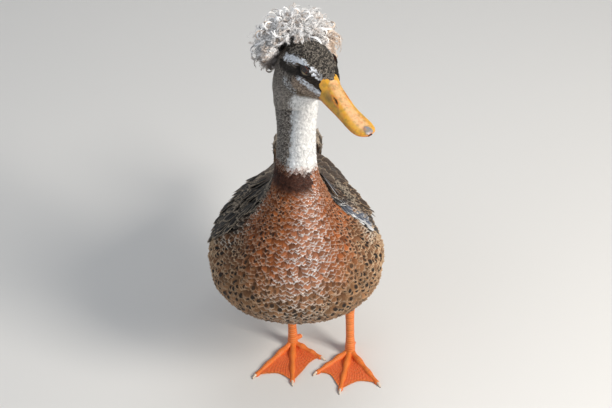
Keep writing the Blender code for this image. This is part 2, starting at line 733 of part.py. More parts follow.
def eye_centre(left):
    return head((EYE_AT[0], left * EYE_SPREAD, EYE_AT[1]))


def lid_ring(name, left, made):
    """The rim of upper and lower lid, an oval longer than high."""
    out = head_way((0.12, left, 0.10)).normalized()
    along = head_way((1, 0, -0.35)).normalized()
    along = (along - out * along.dot(out)).normalized()
    up = out.cross(along)
    centre = eye_centre(left) + out * 4.3
    sides, rim_sides = 16, 6
    points, faces = [], []
    for k in range(sides):
        a = math.tau * k / sides
        spoke = along * math.cos(a) * LID_LONG + up * math.sin(a) * LID_HIGH
        way = spoke.normalized()
        for j in range(rim_sides):
            b = math.tau * j / rim_sides
            rim = way * LID_ROLL * math.cos(b) + out * LID_ROLL * 1.25 * math.sin(b)
            points.append(centre + spoke + rim)
    for k in range(sides):
        for j in range(rim_sides):
            n, m = (k + 1) % sides, (j + 1) % rim_sides
            faces.append((k * rim_sides + j, k * rim_sides + m, n * rim_sides + m, n * rim_sides + j))
    return solid(name, points, faces, made)


def mouth_line(along):
    """The height of the mouth line: it dips in the middle of the bill and rises a little at its end."""
    return -1.3 * math.sin(math.pi * along / BILL_LENGTH) + 1.2 * (along / BILL_LENGTH) ** 4


def make_bill_upper(made):
    rings = []
    arch = 12
    for k, share in enumerate(BILL_SHARES):
        along = share * BILL_LENGTH
        back = BILL_ROOT if k == 0 else 0.0
        ring = []
        for j in range(arch + 1):
            angle = math.pi * j / arch
            side = UPPER_HALF[k] * math.cos(angle)
            up = (UPPER_HIGH[k] - 0.8) * math.sin(angle) ** (0.85 if k < 3 else 0.75) + 0.8
            ring.append(bill((along - back, side, mouth_line(along) + up)))
        for j in range(1, 6):
            side = UPPER_HALF[k] * (-1 + j / 3)
            ring.append(bill((along - back, side, mouth_line(along) + GAP)))
        rings.append(ring)
    upper = loft("bill_upper", rings, made)
    origin = bill((0, 0, 0))
    for left in (1, -1):
        along, side, up = NOSTRIL_AT
        axes = [
            (bill(way) - origin).normalized()
            for way in ((1, 0, -NOSTRIL_SLOPE), (0, 1, 0), (NOSTRIL_SLOPE, 0, 1))
        ]
        cut(upper, ball("nostril", bill((along, left * side, up)), NOSTRIL_SIZE, made, 10, 6, axes))
    return upper


def make_bill_lower(made):
    rings = []
    for k, share in enumerate(BILL_SHARES):
        along = share * BILL_LENGTH * 0.985
        back = BILL_ROOT if k == 0 else 0.0
        ring = []
        for j in range(9):
            angle = math.pi + math.pi * j / 8
            side = LOWER_HALF[k] * math.cos(angle)
            up = LOWER_DEEP[k] * math.sin(angle)
            ring.append(bill((along - back, side, mouth_line(along) + up - GAP)))
        for j in range(1, 4):
            side = LOWER_HALF[k] * (1 - j / 2)
            ring.append(bill((along - back, side, mouth_line(along) - 0.1)))
        rings.append(ring)
    return loft("bill_lower", rings, made)


def crest_point(polar, azimuth, share):
    """A point of the crest in the head's own frame, at a share of the way out to its outline."""
    way = Vector((math.sin(polar) * math.cos(azimuth), math.sin(polar) * math.sin(azimuth), math.cos(polar)))
    way = Matrix.Rotation(-CREST_TILT, 3, "Y") @ way
    far = 1 / math.sqrt(sum((way[k] / CREST_RADII[k]) ** 2 for k in range(3)))
    return Vector(CREST_AT) + way * far * share


def in_front(point):
    """How far a point of the head's frame lies in front of the plane that bounds the crest."""
    (top_x, top_z), (low_x, low_z) = CREST_FRONT
    slope = math.atan2(top_x - low_x, top_z - low_z)
    return (point[0] - low_x) * math.cos(slope) - (point[2] - low_z) * math.sin(slope)


def make_crest(made):
    """A small core on the back of the crown and curled feathers that rise from it and fall outward."""
    axes = [head_way(way) for way in ((1, 0, 0), (0, 1, 0), (0, 0, 1))]
    core = ball("crest", head(CREST_AT), [r * CREST_CORE for r in CREST_RADII], made, 16, 10, axes)
    seeded = random.Random(12)
    feathers = []
    for ring, (count, degrees) in enumerate(CREST_RINGS):
        for k in range(count):
            azimuth = math.tau * (k + 0.5 * (ring % 2)) / count + seeded.uniform(-0.09, 0.09)
            polar = math.radians(degrees + seeded.uniform(-6, 6))
            reach = seeded.uniform(0.90, 1.06)
            curl = seeded.uniform(-0.25, 0.25) + (0.9 if ring < 2 else 0.0)
            places = []
            for share, _ in CREST_STATIONS:
                fall = mix(0.42 * polar, polar, share**1.3)
                out = mix(0.30, reach, math.sin(share * math.pi / 2))
                places.append(crest_point(fall, azimuth + curl * share * share, out))
            if in_front(places[-1]) > 0 or in_front(places[2]) > 0:
                continue
            spots = [head(p) for p in places]
            normals = [(spot - head(CREST_AT)).normalized() for spot in spots]
            size = CREST_HALF * seeded.uniform(0.8, 1.15)
            roll = seeded.uniform(-0.3, 0.3)
            name = f"crest_{ring}_{k}"
            feathers.append(vane(name, spots, normals, size, made, roll, None, CREST_STATIONS))
    return fuse(core, feathers)


def centre_on_floor():
    """Sets the whole bird on z = 0 with the middle of its box over the origin."""
    things = [thing for thing in bpy.data.objects if thing.type == "MESH"]
    spots = [vert.co for thing in things for vert in thing.data.vertices]
    low, high = ([pick(spot[k] for spot in spots) for k in range(3)] for pick in (min, max))
    move = Matrix.Translation((-(low[0] + high[0]) / 2, -(low[1] + high[1]) / 2, -low[2]))
    for thing in things:
        thing.data.transform(move)


def main():
    for thing in list(bpy.data.objects):
        bpy.data.objects.remove(thing)
    plumage = finish("plumage", (0.34, 0.17, 0.09), 0.8)
    white = finish("white_down", (0.78, 0.75, 0.68), 0.85)
    flight = finish("flight_feathers", (0.20, 0.15, 0.12), 0.7)
    horn = finish("bill_skin", (0.75, 0.42, 0.06), 0.4)
    leather = finish("leg_skin", (0.85, 0.22, 0.03), 0.5)
    claw = finish("claw_horn", (0.45, 0.36, 0.26), 0.4)
    eye = finish("eye", (0.06, 0.02, 0.01), 0.08)
    torso = make_torso(plumage)
    make_neck(plumage)
    make_tail(flight)
    skull = make_head(plumage)
    cut(make_crest(white), swollen(skull, GAP))
    for name, left in (("eye_left", 1), ("eye_right", -1)):
        ball(name, eye_centre(left), [EYE_RADIUS] * 3, eye, 14, 9)
    for piece in (make_bill_upper(horn), make_bill_lower(horn)):
        cut(piece, swollen(skull, GAP))
    for side in HEELS:
        make_thigh(side, torso, plumage)
        make_leg(side, leather)
        _, toes = make_foot(side, leather)
        for k, (heel, way, length) in enumerate(toes):
            make_claw(f"claw_{side}_{k + 1}", heel, way, length, claw)
        make_wing(side, flight)
    centre_on_floor()


main()
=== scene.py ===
"""The looks of a crested domestic duck: skin, coat, feathers, bill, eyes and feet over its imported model."""

import math

from functools import partial

import bpy
import numpy as np
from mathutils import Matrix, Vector


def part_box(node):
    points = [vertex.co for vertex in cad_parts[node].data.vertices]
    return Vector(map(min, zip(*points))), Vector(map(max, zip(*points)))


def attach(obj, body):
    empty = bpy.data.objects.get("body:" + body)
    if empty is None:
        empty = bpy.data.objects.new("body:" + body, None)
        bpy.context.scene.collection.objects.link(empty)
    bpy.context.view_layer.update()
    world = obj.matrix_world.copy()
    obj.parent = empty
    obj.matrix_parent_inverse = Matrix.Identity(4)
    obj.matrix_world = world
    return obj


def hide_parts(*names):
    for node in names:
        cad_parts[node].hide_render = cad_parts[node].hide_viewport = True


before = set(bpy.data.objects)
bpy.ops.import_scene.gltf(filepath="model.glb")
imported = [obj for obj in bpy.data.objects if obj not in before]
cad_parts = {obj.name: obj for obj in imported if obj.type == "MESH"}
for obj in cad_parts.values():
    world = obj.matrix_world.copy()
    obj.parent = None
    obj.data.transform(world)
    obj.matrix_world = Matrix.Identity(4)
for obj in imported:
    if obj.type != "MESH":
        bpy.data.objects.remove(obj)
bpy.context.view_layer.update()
seeded = np.random.default_rng(21)


# Skin: one skin under the feathers from the bill's base over the head, neck and body to the rump,
# with the feathered thighs. It lies a few millimetres inside the plumage, and it has the colours of
# the feathers over it, darkened as painted shade beneath them, so that no gap among them shows.
MM = 0.001
# Each rib: how far forward and how high its back lies, the same for its front, its half-width and its
# widest place from front to back.
BODY_RIBS = np.array([
    (7, 335, 50, 335, 21.0, 0.50),
    (9, 302, 53, 300, 18.2, 0.50),
    (9, 272, 61, 266, 19.5, 0.48),
    (3, 248, 73, 242, 24.5, 0.44),
    (-11, 227, 88, 217, 36.0, 0.41),
    (-30, 210, 100, 187, 53.5, 0.38),
    (-51, 194, 104, 153, 71.0, 0.37),
    (-72, 180, 92, 119, 82.0, 0.38),
    (-90, 168, 61, 88, 80.0, 0.40),
    (-106, 159, 20, 73, 71.0, 0.43),
    (-119, 152, -28, 75, 60.0, 0.46),
    (-130, 148, -68, 87, 47.0, 0.48),
    (-139, 146, -102, 100, 35.0, 0.50),
    (-147, 143, -126, 110, 26.5, 0.52),
    (-176, 139, -172, 126, 22.0, 0.52),
    (-202, 142, -200, 136, 24.0, 0.50),
    (-224, 146, -223, 144, 23.0, 0.50),
])
HEAD_RIBS = np.array([
    (-22, 335.3, 21, 335.3, 21.0, 0.50),
    (-24, 350, 25, 343, 21.2, 0.50),
    (-20, 367, 31, 348.5, 20.8, 0.52),
    (-13, 383, 36, 352, 20.8, 0.54),
    (2, 397, 40, 353.6, 20.0, 0.56),
    (18, 402.5, 43.5, 354.6, 18.6, 0.58),
    (32, 400.5, 46, 355.2, 17.2, 0.58),
    (43, 392.5, 48.2, 355.4, 14.4, 0.56),
    (53.5, 381, 49.8, 355.4, 10.8, 0.50),
])
HEAD_TURN, BODY_TURN, BODY_SHIFT = math.radians(42), math.radians(6), -1.0
NECK_AXIS, FORWARD, RAISED = 29.0, 10.0, 7.0
BILL_END, RUMP = 8.0, 14.2
SIDES, UP = (("left", 1), ("right", -1)), np.array([0, 0, 1.0])
EYE_AT, EYE_SPREAD, EYE_RADIUS = (34.8, 386.5), 11.6, 6.0


def spline(table, t):
    """Rows of a table at places between them, joined by a smooth curve."""
    last = len(table) - 1
    i = np.clip(np.floor(t).astype(int), 0, last - 1)
    f = (t - i)[..., None]
    rows = np.concatenate([2 * table[:1] - table[1:2], table, 2 * table[-1:] - table[-2:-1]])
    before, start, end, after = (rows[i + k] for k in range(4))
    return (
        start * (2 * f**3 - 3 * f**2 + 1)
        + (end - before) / 2 * (f**3 - 2 * f**2 + f)
        + end * (3 * f**2 - 2 * f**3)
        + (after - start) / 2 * (f**3 - f**2)
    )


def rib_point(table, u, angle):
    """Sideways, forward and height on a ribbed form: angle 0 is the throat or belly, pi the back."""
    row = spline(table, u)
    along = (1 - np.cos(angle)) / 2 + (row[..., 5] - 0.5) * np.sin(angle) ** 2
    forward = row[..., 2] + (row[..., 0] - row[..., 2]) * along
    height = row[..., 3] + (row[..., 1] - row[..., 3]) * along
    return row[..., 4] * np.sin(angle), forward, height


def on_body(u, angle):
    side, forward, height = rib_point(BODY_RIBS, u, angle)
    share = np.clip((u - 1) / 4, 0, 1) ** 2
    turn = BODY_TURN * share
    reach = forward - NECK_AXIS
    return np.stack([
        side * np.cos(turn) + reach * np.sin(turn) + BODY_SHIFT * share,
        side * np.sin(turn) - reach * np.cos(turn) - NECK_AXIS - FORWARD,
        height + RAISED,
    ], -1)


def from_head(forward, left, height):
    """Places in the head's own frame, in front of the neck's axis and to the left of it, in the body's."""
    cos, sin = math.cos(HEAD_TURN), math.sin(HEAD_TURN)
    return np.stack([
        forward * sin + left * cos,
        left * sin - forward * cos - NECK_AXIS - FORWARD,
        height + RAISED,
    ], -1)


def on_head(u, angle):
    side, forward, height = rib_point(HEAD_RIBS, u, angle)
    return from_head(forward, side, height)


def unit(v):
    return v / np.maximum(np.linalg.norm(v, axis=-1, keepdims=True), 1e-9)


def normal_of(surface, u, angle, sign=1):
    step = 0.02
    along = surface(u + step, angle) - surface(u - step, angle)
    around = surface(u, angle + step) - surface(u, angle - step)
    return unit(np.cross(along, around)) * sign


def smooth(low, high, value):
    share = np.clip((value - low) / (high - low), 0, 1)
    return share * share * (3 - 2 * share)


def eye_middle(hand):
    """The middle of the left eye with hand 1, or of the right one with -1."""
    return from_head(EYE_AT[0], hand * EYE_SPREAD, EYE_AT[1])


def wrapped(angle):
    """An angle in degrees, from -180 to 180."""
    return (np.degrees(angle) + 180) % 360 - 180


def net(one, two):
    """Every place of a grid over two rows of values."""
    return np.meshgrid(one, two, indexing="ij")


def turns(number):
    """So many angles, evenly once round."""
    return np.linspace(0, math.tau, number + 1)[:-1]


eye_low, eye_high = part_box("eye_left")
eye_mid = (np.array(eye_low) + np.array(eye_high)) / 2
SHIFT = eye_mid - eye_middle(1) * MM


def in_place(spots):
    """Points in millimetres in the body's own frame, as a list of points of the model in metres."""
    return spots.reshape(-1, 3) * MM + SHIFT


def twist(u):
    """How far the plumage's middle line has turned with the head, in radians, at each rib."""
    return np.radians(np.interp(u, [0, 1.5, 2.8, 4.3, 5.6, 7.5, 9], [42, 44, 43, 16, 2, -3, 0]))


CHESTNUT, BUFF, PALE_TAN = (0.27, 0.080, 0.021), (0.25, 0.130, 0.060), (0.42, 0.28, 0.16)
WHITE, CREAM, BLACK = (0.80, 0.80, 0.79), (0.74, 0.68, 0.56), (0.016, 0.013, 0.011)


def blend(one, two, share):
    """A colour with a share of another laid over it."""
    return one + (np.asarray(two) - one) * np.asarray(share)[..., None]


def flat_colour(colour, like):
    return np.broadcast_to(np.array(colour, float), (*like.shape, 3)).copy()


def body_colours(u, angle, draw):
    """Ground colour, edge colour and the strength of edge and spot for feathers of the neck and body.
    draw holds one random number from 0 to 1 for each feather."""
    turned = wrapped(angle - twist(u))
    off = np.abs(turned)
    middle = 1 - smooth(6, 42, off)
    # The breast's middle line is paled a little: a painted highlight along its ridge.
    ground = blend(CHESTNUT, (0.62, 0.46, 0.37), 0.16 * middle)
    lace = 0.5 + 0.45 * middle
    spot = smooth(24, 60, off) * (draw > 0.45) * 0.9
    low = smooth(4.6, 6.2, u + 0.009 * (off - 24) + 0.6 * (draw - 0.5))
    ground = blend(ground, BUFF, low)
    ground = blend(ground, PALE_TAN, smooth(7.4, 9.0, u) * 0.8)
    edge = blend(WHITE, (0.62, 0.46, 0.32), smooth(14, 60, off) * 0.9)
    edge = blend(edge, (0.58, 0.45, 0.31), low * (1 - 0.35 * middle))
    side = smooth(60, 84, off) * smooth(4.2, 5.3, u)
    ground = blend(ground, (0.17, 0.078, 0.036), 0.85 * side)
    edge = blend(edge, (0.60, 0.43, 0.27), side)
    lace = lace * (1 - 0.2 * low) * (1 - 0.5 * smooth(6.2, 7.4, u)) + 0.45 * side
    spot = np.maximum(spot, low * (draw > 0.22) * (1 - 0.7 * smooth(9.5, 11.5, u)))
    spot = spot * (1 - 0.5 * middle * (1 - smooth(5.2, 6.2, u)))
    # The dark back and shoulders, and the pale row that borders them.
    first = np.interp(u, [2.5, 3.2, 4.4, 5.0, 6.5, 9.0, 12.0, 14.0], [118, 114, 103, 96, 101, 112, 104, 70])
    back = smooth(0, 12, off - first + 8 * (draw - 0.5))
    raw = np.abs(wrapped(angle))
    shoulder = np.where(np.sin(angle) > 0, np.interp(u, [3.6, 4.4, 6.2, 7.2], [134, 112, 112, 134]), 134)
    back = np.maximum(back, smooth(0, 10, raw - shoulder + 8 * (draw - 0.5)))
    ground = blend(ground, (0.028, 0.022, 0.018), back)
    edge = blend(edge, (0.46, 0.38, 0.29), back)
    lace = lace + (0.85 - lace) * back
    border = np.exp(-(((off - first) / 5.5) ** 2)) * smooth(2.9, 3.3, u) * smooth(6.0, 5.4, u)
    edge = blend(edge, (0.76, 0.68, 0.57), border)
    lace = np.maximum(lace, border)
    spot = spot * (1 - back)
    # A dark band round the neck's base on its front and right side, painted shadow of the head; over it
    # the white foreneck with the grey back of the neck.
    head_shadow_band = smooth(1.6, 1.85, u + 0.1 * (draw - 0.5)) * (1 - smooth(2.2, 2.6, u)) * (turned < 14)
    ground = blend(ground, (0.042, 0.015, 0.010), head_shadow_band * 0.95)
    lace = lace * (1 - 0.95 * head_shadow_band)
    spot = spot * (1 - head_shadow_band)
    limit = off - np.interp(u, [0, 1.5], [50, 60]) + 12 * (draw - 0.5)
    # Towards the neck's right side the white turns bluish grey: partly the grey of the back of the neck,
    # partly painted shade.
    ground_high = blend(WHITE, (0.50, 0.54, 0.58), 0.6 * smooth(-12, -50, turned))
    ground_high = blend(ground_high, (0.098, 0.084, 0.073), smooth(-7, 5, limit))
    high = 1 - smooth(1.6, 1.9, u + 0.15 * (draw - 0.5) - 0.0045 * np.clip(turned, -20, 60))
    ground = blend(ground, ground_high, high)
    edge = blend(edge, (0.60, 0.54, 0.47), high)
    lace = lace * (1 - high) + high * 0.85 * smooth(-7, 5, limit)
    spot = spot * (1 - high)
    return ground, edge, lace, spot


def head_colours(forward, left, height, draw):
    """The same for feathers of the head, by their place in its own frame."""
    wide = np.abs(left)

    def near(path, reach):
        """How close a feather lies to a line through places forward and up, from 0 to 1."""
        best = np.full(forward.shape, 99.0)
        for (fa, za), (fb, zb) in zip(path, path[1:]):
            way = np.array([fb - fa, zb - za], float)
            share = np.clip(((forward - fa) * way[0] + (height - za) * way[1]) / way.dot(way), 0, 1)
            gap = np.hypot(forward - fa - share * way[0], height - za - share * way[1])
            best = np.minimum(best, gap)
        return 1 - smooth(reach * 0.72, reach * 1.25, best + (draw - 0.5) * 1.2)

    crown = smooth(-2, 3, height - np.interp(forward, [0, 30, 50], [388, 395, 381]))
    ground = blend((0.045, 0.032, 0.024), (0.014, 0.012, 0.011), crown)
    edge = blend((0.42, 0.32, 0.22), (0.42, 0.37, 0.31), crown)
    lace = 0.6 + ((0.15 + 0.55 * (draw > 0.45)) - 0.6) * crown
    rear = smooth(29, 21, forward)
    ground = blend(ground, (0.020, 0.016, 0.014), rear * (1 - crown))
    edge = blend(edge, (0.50, 0.44, 0.38), rear * (1 - crown))
    lace = lace + (0.65 - lace) * rear * (1 - crown)
    nape = smooth(366, 350, height) * (1 - smooth(12, 20, forward))
    ground = blend(ground, (0.085, 0.073, 0.063), nape)
    edge = blend(edge, (0.58, 0.52, 0.45), nape)
    lace = lace + (0.7 - lace) * nape
    cheek = near([(27, 370), (40, 366), (52, 361)], 6.0)
    ground = blend(ground, (0.105, 0.072, 0.052), cheek)
    edge = blend(edge, (0.68, 0.54, 0.42), cheek)
    lace = np.maximum(lace, cheek * (0.5 + 0.5 * draw))
    fleck = near([(12, 368), (22, 362)], 4.5) * (draw > 0.35)
    lace = np.maximum(lace, fleck * 0.95)
    edge = blend(edge, WHITE, fleck)
    throat = smooth(2.5, -2.0, height - np.interp(forward, [4, 13, 22, 40, 52], [322, 346, 356, 357.5, 357]))
    throat = throat * smooth(12, 17, forward + 6 * (draw - 0.5))
    ground = blend(ground, WHITE, throat)
    lace = lace * (1 - throat)
    low_stripe = near([(30, 378.5), (40, 374), (53, 367)], 3.3) * (1 - 0.8 * (draw > 0.72))
    ground = blend(ground, (0.74, 0.77, 0.82), low_stripe)
    lace = lace * (1 - 0.8 * low_stripe)
    eye_line = near([(2, 380), (20, 381), (34, 384), (44, 382), (52, 376), (60, 370)], 4.3)
    ground = blend(ground, BLACK, eye_line)
    lace = lace * (1 - 0.9 * eye_line)
    brow = near([(6, 387.0), (14, 390.0), (24, 392.4)], 2.8) * smooth(4.5, 7.5, wide)
    front = near([(20, 392.3), (31, 392.8), (39, 389.6), (48, 384.0)], 2.0) * smooth(5.5, 8.0, wide)
    front = front * smooth(52, 44, forward + 14 * (left > 0))
    front = front * (1 - 0.85 * (draw > 1.0 - 0.03 * (forward - 32)))
    brow = np.maximum(brow * (1 - 0.8 * (draw > 0.88)), front)
    ground = blend(ground, (0.76, 0.79, 0.84), brow)
    lace = lace * (1 - 0.9 * brow)
    return ground, edge, lace, np.zeros(forward.shape)


HEAD_DEPTH, NECK_DEPTH, SKIN_DEPTH, RUMP_DEPTH = 1.6, 2.2, 3.0, 5.0
HEAD_FROM, BODY_FROM, SKIN_SHADE, THIGH_SHADE = 0.25, 0.1, 0.7, 0.6
CLOSING_ROWS, HEAD_ROWS, BODY_ROWS, SKIN_SIDES = 2, 36, 60, 72
SKIN_ROWS = CLOSING_ROWS + HEAD_ROWS + BODY_ROWS
angles = turns(SKIN_SIDES)
head_u, head_angle = net(np.linspace(BILL_END, HEAD_FROM, HEAD_ROWS), angles)
body_u, body_angle = net(np.linspace(BODY_FROM, RUMP, BODY_ROWS), angles)
side, forward, height = rib_point(HEAD_RIBS, head_u, head_angle)
head_tint = head_colours(forward, side, height, np.full(head_u.shape, 0.5))[0]
head_spots = on_head(head_u, head_angle) - normal_of(on_head, head_u, head_angle, -1) * HEAD_DEPTH
turned_angle = body_angle + twist(body_u)
body_tint = body_colours(body_u, turned_angle, np.full(body_u.shape, 0.5))[0]
depth = np.interp(
    body_u, [0, 2.5, 4.5, RUMP - 0.6, RUMP], [HEAD_DEPTH, NECK_DEPTH, SKIN_DEPTH, SKIN_DEPTH, RUMP_DEPTH]
)
body_spots = on_body(body_u, turned_angle) - normal_of(on_body, body_u, turned_angle) * depth[..., None]
BILL_BASE, BILL_DIP, BILL_LENGTH, FEATHER_WEDGE = (51.0, 362.0), math.radians(12), 60.0, 4.5


def from_bill(along, left, up):
    """Places in the bill's frame, along the mouth line from the gape, left and up, in the body's."""
    cos, sin = math.cos(BILL_DIP), math.sin(BILL_DIP)
    return from_head(BILL_BASE[0] + along * cos + up * sin, left, BILL_BASE[1] - along * sin + up * cos)


def wedge_reach(angle):
    """How far the feathers reach on to the bill: a point on top, a notch each side of it."""
    from_top = np.abs(np.degrees(angle) % 360 - 180)
    return FEATHER_WEDGE * np.interp(from_top, [0, 26, 40, 90, 180], [1.0, -0.35, -0.35, 0.0, 0.0])


WEDGE_WAY = from_bill(1, 0, -0.42) - from_bill(0, 0, 0)
wedge = np.maximum(wedge_reach(angles), 0)[:, None] * WEDGE_WAY
closing = [head_spots[0] * 0.3 + from_bill(0, 0, 7) * 0.7, head_spots[0] + wedge]
skin_spots = np.concatenate([closing, head_spots, body_spots])
# The skin takes the feathers' colours, darkened by SKIN_SHADE as painted shade under them.
skin_tint = np.concatenate([head_tint[:1], head_tint[:1], head_tint, body_tint]) * SKIN_SHADE


def colour_layer(mesh, name, rgb):
    """One colour for each point of a mesh, or one for them all."""
    rgba = np.ones((len(mesh.vertices), 4), np.float32)
    rgba[:, :3] = rgb
    mesh.color_attributes.new(name, "FLOAT_COLOR", "POINT").data.foreach_set("color", rgba.ravel())


def mesh_of(name, spots, faces, material, maps=None):
    """A smooth mesh object from points in metres and faces of one size, with maps of (u, v) by point."""
    mesh = bpy.data.meshes.new(name)
    faces = np.asarray(faces, np.int32)
    mesh.vertices.add(len(spots))
    mesh.vertices.foreach_set("co", np.asarray(spots, np.float32).ravel())
    mesh.loops.add(faces.size)
    mesh.loops.foreach_set("vertex_index", faces.ravel())
    mesh.polygons.add(len(faces))
    mesh.polygons.foreach_set("loop_start", np.arange(len(faces), dtype=np.int32) * faces.shape[1])
    mesh.update(calc_edges=True)
    mesh.shade_smooth()
    for title, uv in (maps or {}).items():
        corners = np.asarray(uv, np.float32)[faces]
        over_seam = np.ptp(corners[..., 0], axis=1)[:, None] > 0.5
        corners[..., 0] += over_seam & (corners[..., 0] < 0.5)
        mesh.uv_layers.new(name=title).data.foreach_set("uv", corners.ravel())
    mesh.materials.append(material)
    piece = bpy.data.objects.new(name, mesh)
    bpy.context.scene.collection.objects.link(piece)
    return piece


def laid(name, spots, faces, material, tint, slot, maps=None, **layers):
    """A piece of the body from points in millimetres, with its colours and its maps; its slot is not used."""
    piece = mesh_of(name, in_place(spots), faces, material, maps)
    for title, colours in {"tint": tint, **layers}.items():
        colour_layer(piece.data, title, np.reshape(colours, (-1, 3)))
    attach(piece, "root")
    return piece


def tube_quads(rows, sides):
    """Faces of a tube: rings of so many points."""
    base = np.arange(rows - 1)[:, None] * sides
    here, there = np.arange(sides)[None], (np.arange(sides)[None] + 1) % sides
    return np.stack([base + here, base + there, base + sides + there, base + sides + here], -1).reshape(-1, 4)


def sheet_quads(rows, across):
    """Faces of an open sheet: rows of so many points."""
    corner = (np.arange(rows - 1)[:, None] * across + np.arange(across - 1)).ravel()
    return np.stack([corner, corner + 1, corner + across + 1, corner + across], -1)


def shader_of(name):
    """A new material and its shader, with its nodes and links at hand."""
    material = bpy.data.materials.new(name)
    material.use_nodes = True
    tree = material.node_tree
    return material, tree, tree.nodes["Principled BSDF"]


def fill(tree, made, values):
    """Fills a node's inputs, by name or number: a socket is linked, and a value is set on the input."""
    for key, value in values.items():
        if isinstance(value, bpy.types.NodeSocket):
            tree.links.new(value, made.inputs[key])
        else:
            made.inputs[key].default_value = value


def node(tree, kind, values=None, **settings):
    """A node with its settings and its inputs."""
    made = tree.nodes.new(kind)
    for key, value in settings.items():
        setattr(made, key, value)
    fill(tree, made, values or {})
    return made


def layer(tree, name):
    """The colour that a mesh carries in one of its layers."""
    return node(tree, "ShaderNodeVertexColor", layer_name=name).outputs[0]


def bumped(tree, height, strength, distance, **settings):
    values = {"Height": height, "Strength": strength, "Distance": distance}
    return node(tree, "ShaderNodeBump", values, **settings).outputs[0]


def noise(tree, scale, detail=2.0, roughness=0.5):
    """A random pattern with so many lumps to the metre."""
    place = tree.nodes.new("ShaderNodeTexCoord").outputs["Object"]
    values = {"Vector": place, "Scale": scale, "Detail": detail, "Roughness": roughness}
    return node(tree, "ShaderNodeTexNoise", values).outputs[0]


def calc(tree, operation, *values):
    return node(tree, "ShaderNodeMath", dict(enumerate(values)), operation=operation).outputs[0]


def between(tree, value, low, high):
    """A value from 0 to 1 moved into a range."""
    values = {"Value": value, "To Min": low, "To Max": high}
    return node(tree, "ShaderNodeMapRange", values).outputs[0]


def ramp(tree, value, low, high):
    """0 below low and 1 above high, eased between them."""
    values = {"Value": value, "From Min": low, "From Max": high}
    return node(tree, "ShaderNodeMapRange", values, interpolation_type="SMOOTHSTEP").outputs[0]


def mixed(tree, share, one, two):
    """A colour with a share of another, each a socket or three numbers."""
    one, two = ((*each, 1) if isinstance(each, tuple) else each for each in (one, two))
    return node(tree, "ShaderNodeMix", {0: share, 6: one, 7: two}, data_type="RGBA").outputs[2]


down, tree, shader = shader_of("down")
tint = layer(tree, "tint")
fluff = node(tree, "ShaderNodeTexNoise", {"Scale": 420.0, "Detail": 4.0}).outputs[0]
dark_down = mixed(tree, 0.4, tint, (0.02, 0.016, 0.013))
fill(tree, shader, {
    "Base Color": mixed(tree, ramp(tree, fluff, 0.35, 0.65), dark_down, tint), "Roughness": 0.95,
})


def head_place(u, angle):
    """Where a place on the head lies on the skin's map."""
    row = CLOSING_ROWS + (BILL_END - u) * (HEAD_ROWS - 1) / (BILL_END - HEAD_FROM)
    return np.stack([(angle / math.tau) % 1, row / SKIN_ROWS], -1)


def body_place(u, angle):
    """The same for a place on the neck or body."""
    row = CLOSING_ROWS + HEAD_ROWS + (u - BODY_FROM) * (BODY_ROWS - 1) / (RUMP - BODY_FROM)
    return np.stack([((angle - twist(u)) / math.tau) % 1, row / SKIN_ROWS], -1)


skin_u, skin_v = net(np.arange(SKIN_ROWS) / SKIN_ROWS, np.arange(SKIN_SIDES) / SKIN_SIDES)
skin = laid(
    "skin", skin_spots, tube_quads(SKIN_ROWS, SKIN_SIDES), down, skin_tint, "plumage",
    {"OFBake": np.stack([skin_v, skin_u], -1).reshape(-1, 2)},
)
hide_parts("torso", "neck", "head", "thigh_left", "thigh_right")

HEELS = {"left": (53.0, -4.0), "right": (-10.0, 3.3)}
HOCKS = {"left": (51.0, 3.0, 65.0), "right": (-13.0, 9.0, 62.0)}
HIPS = {"left": (42.0, 12.0, 108.0), "right": (-24.0, 16.0, 108.0)}
# The thigh's radius at shares of its length.
THIGH = [(0.0, 12.0), (0.45, 11.2), (0.8, 7.8), (1.0, 5.6)]


def on_thigh(side):
    """The thigh's form from hip to hock as a surface of (share down it, angle round it)."""
    hip, hock = np.array(HIPS[side]), np.array(HOCKS[side])
    way = unit(hock - hip)
    across = unit(np.cross(way, (0, 1, 0)))
    front = np.cross(across, way)

    def surface(share, angle):
        share = np.clip(share, 0, 1)
        radius = np.interp(share, *zip(*THIGH))[..., None]
        middle = hip + (hock - hip) * share[..., None]
        return middle + (across * np.cos(angle)[..., None] + front * np.sin(angle)[..., None]) * radius

    return surface


for side_name in HEELS:
    share, angle = net(np.linspace(0, 1, 14), angles[::3])
    thigh_map = np.stack([angle.ravel() / math.tau, share.ravel()], -1)
    # The thigh's skin takes the tan of its feathers, darkened by THIGH_SHADE as painted shade under them.
    laid(
        "skin_thigh_" + side_name, on_thigh(side_name)(share, angle), tube_quads(*share.shape), down,
        np.array(PALE_TAN) * THIGH_SHADE, "plumage", {"OFBake": thigh_map},
    )


# Vanes: every contour feather is a thin curved vane, rounded at its tip and loose at its edge. Its
# pattern lies in the vane itself: a shaft, fine barbs, a pale edge round the tip and a dark spot.
TIP_ROUND = 0.46
BAKE_PATCH = 0.003


def vane_shape(rows, across, tip_round=TIP_ROUND, root=0.35):
    """Places over one vane: share of its length, and share of its half-width at each point across."""
    t = np.linspace(0, 1, rows) ** 0.85
    wide = np.where(
        t < tip_round,
        root + (1 - root) * np.sin(np.pi / 2 * np.minimum(t / min(tip_round, 0.5), 1)),
        np.sqrt(np.maximum(1 - ((t - tip_round) / (1 - tip_round)) ** 2, 0.02)),
    )
    return t, wide[:, None] * np.linspace(-1, 1, across)[None]


